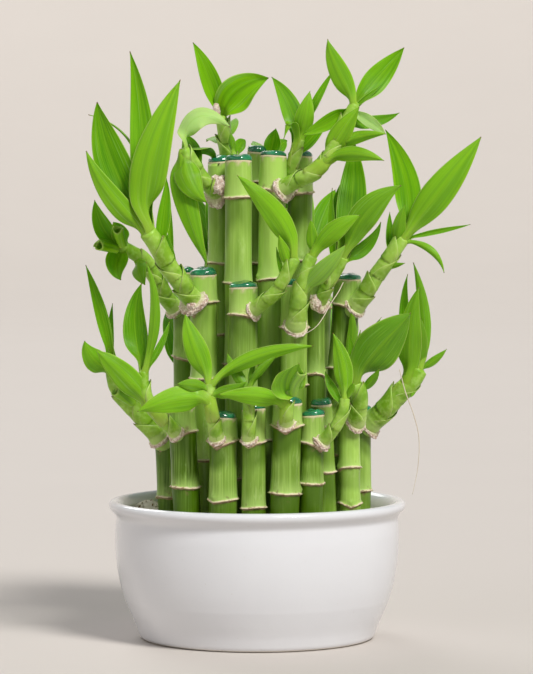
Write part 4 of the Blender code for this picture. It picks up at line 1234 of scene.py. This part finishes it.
def knotPart(centre, halves, seed):
    # a closed oval from pole to pole, pushed in and out by two noises so that it looks scaly
    height = (np.linspace(-1, 1, lumps["rows"]) * (math.pi / 2 - 0.03))[:, None]
    turn = ringTurns(lumps["sides"])
    ball = triple(np.cos(height) * np.cos(turn), np.cos(height) * np.sin(turn), np.sin(height))
    rough = 0.16 * ripple(ball * halves, 4.5, seed) + 0.10 * ripple(ball * halves, 1.5, seed + 1)
    return closedPart(ball * (1 + rough[..., None]) * halves + centre, 0, triple(0, 0.4, rough))


def buildLumps():
    parts = [knotPart(*map(np.array, knot), lumps["seed"] + 2 * order) for order, knot in enumerate(lumps["knots"])]
    seat(meshObject("callusKnots", parts, [collarMaterial()]), "cane")


buildLumps()
print("callus knots are set")


curls = {
    # old sheaths and young leaves that stay rolled: path in mm, radius, how many times round, tone
    "rolls": (
        (((-51.0, -23.5, 100.0), (-54.5, -25.5, 102.8), (-58.2, -27.0, 105.6)), 2.8, 1.25, 1.2),
        (((-55.0, -25.5, 165.0), (-56.5, -27.0, 169.0), (-57.0, -29.0, 172.0)), 2.5, 1.35, 1.15),
        (((-57.5, -24.5, 163.5), (-61.5, -27.0, 164.5), (-64.8, -31.0, 165.5)), 2.4, 1.3, 1.05),
        (((14.5, -54.0, 106.0), (15.5, -57.0, 111.0), (18.0, -59.5, 115.5)), 2.6, 0.8, 1.35),
    ),
    "rows": 20,
    "cols": 36,
    "thick": 0.4,
    "openAt": 4.4,  # radians round the path that the roll's opening faces
}


def curlPart(path, radius, turns, tone):
    # a sheet rolled about its path, its radius growing by two fifths from the inner edge to the outer, a little
    # wider towards its ragged mouth, between an outer and an inner skin
    t = np.linspace(0, 1, curls["rows"])[:, None]
    share = np.linspace(0, 1, curls["cols"])
    line = spline(path, curls["rows"])
    along = tangentsOf(line)
    angle = (share - 0.5) * fullTurn * turns + curls["openAt"] + 0.5 * t
    size = radius * (0.72 + 0.28 * share) * (0.8 + 0.25 * t)
    outward = rays(along, angle, (0.3, 1, 0.2))
    ragged = (0.5 * np.sin(angle * 2.3) * smooth(0.7, 1, t))[..., None] * along[:, None]
    outer = line[:, None] + outward * size[..., None] + ragged
    inner = outer - outward * curls["thick"]
    both = np.concatenate([share, share[::-1]]) * 2 - 1
    under = np.repeat([0.0, 1.0], curls["cols"])
    place, look = triple(both, 0.1 + 0.4 * t, 0), triple(tone, under, smooth(0.8, 1, t))
    return closedPart(np.concatenate([outer, inner[:, ::-1]], 1), 0, place, look)


def buildCurls():
    parts = [curlPart(*roll) for roll in curls["rolls"]]
    seat(meshObject("rolledSheaths", parts, [leafMaterial()]), "leaf")


buildCurls()
print("rolled sheaths are curled")


threads = {
    "radius": 0.2,
    "rows": 60,
    "sides": 8,
    "paths": (
        ((59, -21, 114), (61.5, -22, 104.5), (65, -20, 95), (67.3, -17, 85), (67, -15, 73), (64.8, -14.5, 61.5)),
        ((35.7, -22, 150), (33.5, -25.5, 146), (30.7, -30, 142), (24.5, -37, 132.6), (15.9, -39.5, 127.7)),
    ),
    "colours": ((0.62, 0.50, 0.38), (0.82, 0.74, 0.62)),
}


def buildThreads():
    # hair roots: thin tubes along smooth curves, tapering to a point
    radii = threads["radius"] * (1 - 0.6 * np.linspace(0, 1, threads["rows"]) ** 2)
    lines = [spline(path, threads["rows"]) for path in threads["paths"]]
    parts = [closedPart(tubeRings(line, radii, threads["sides"])) for line in lines]
    material, node, link = startMaterial("hairRoot", {"Roughness": 0.6})
    link(blendColour(node, objectNoise(node, 300, 2), *threads["colours"]), "Base Color")
    seat(meshObject("hairRoots", parts, [material]), "cane")


buildThreads()
print("hair roots hang")
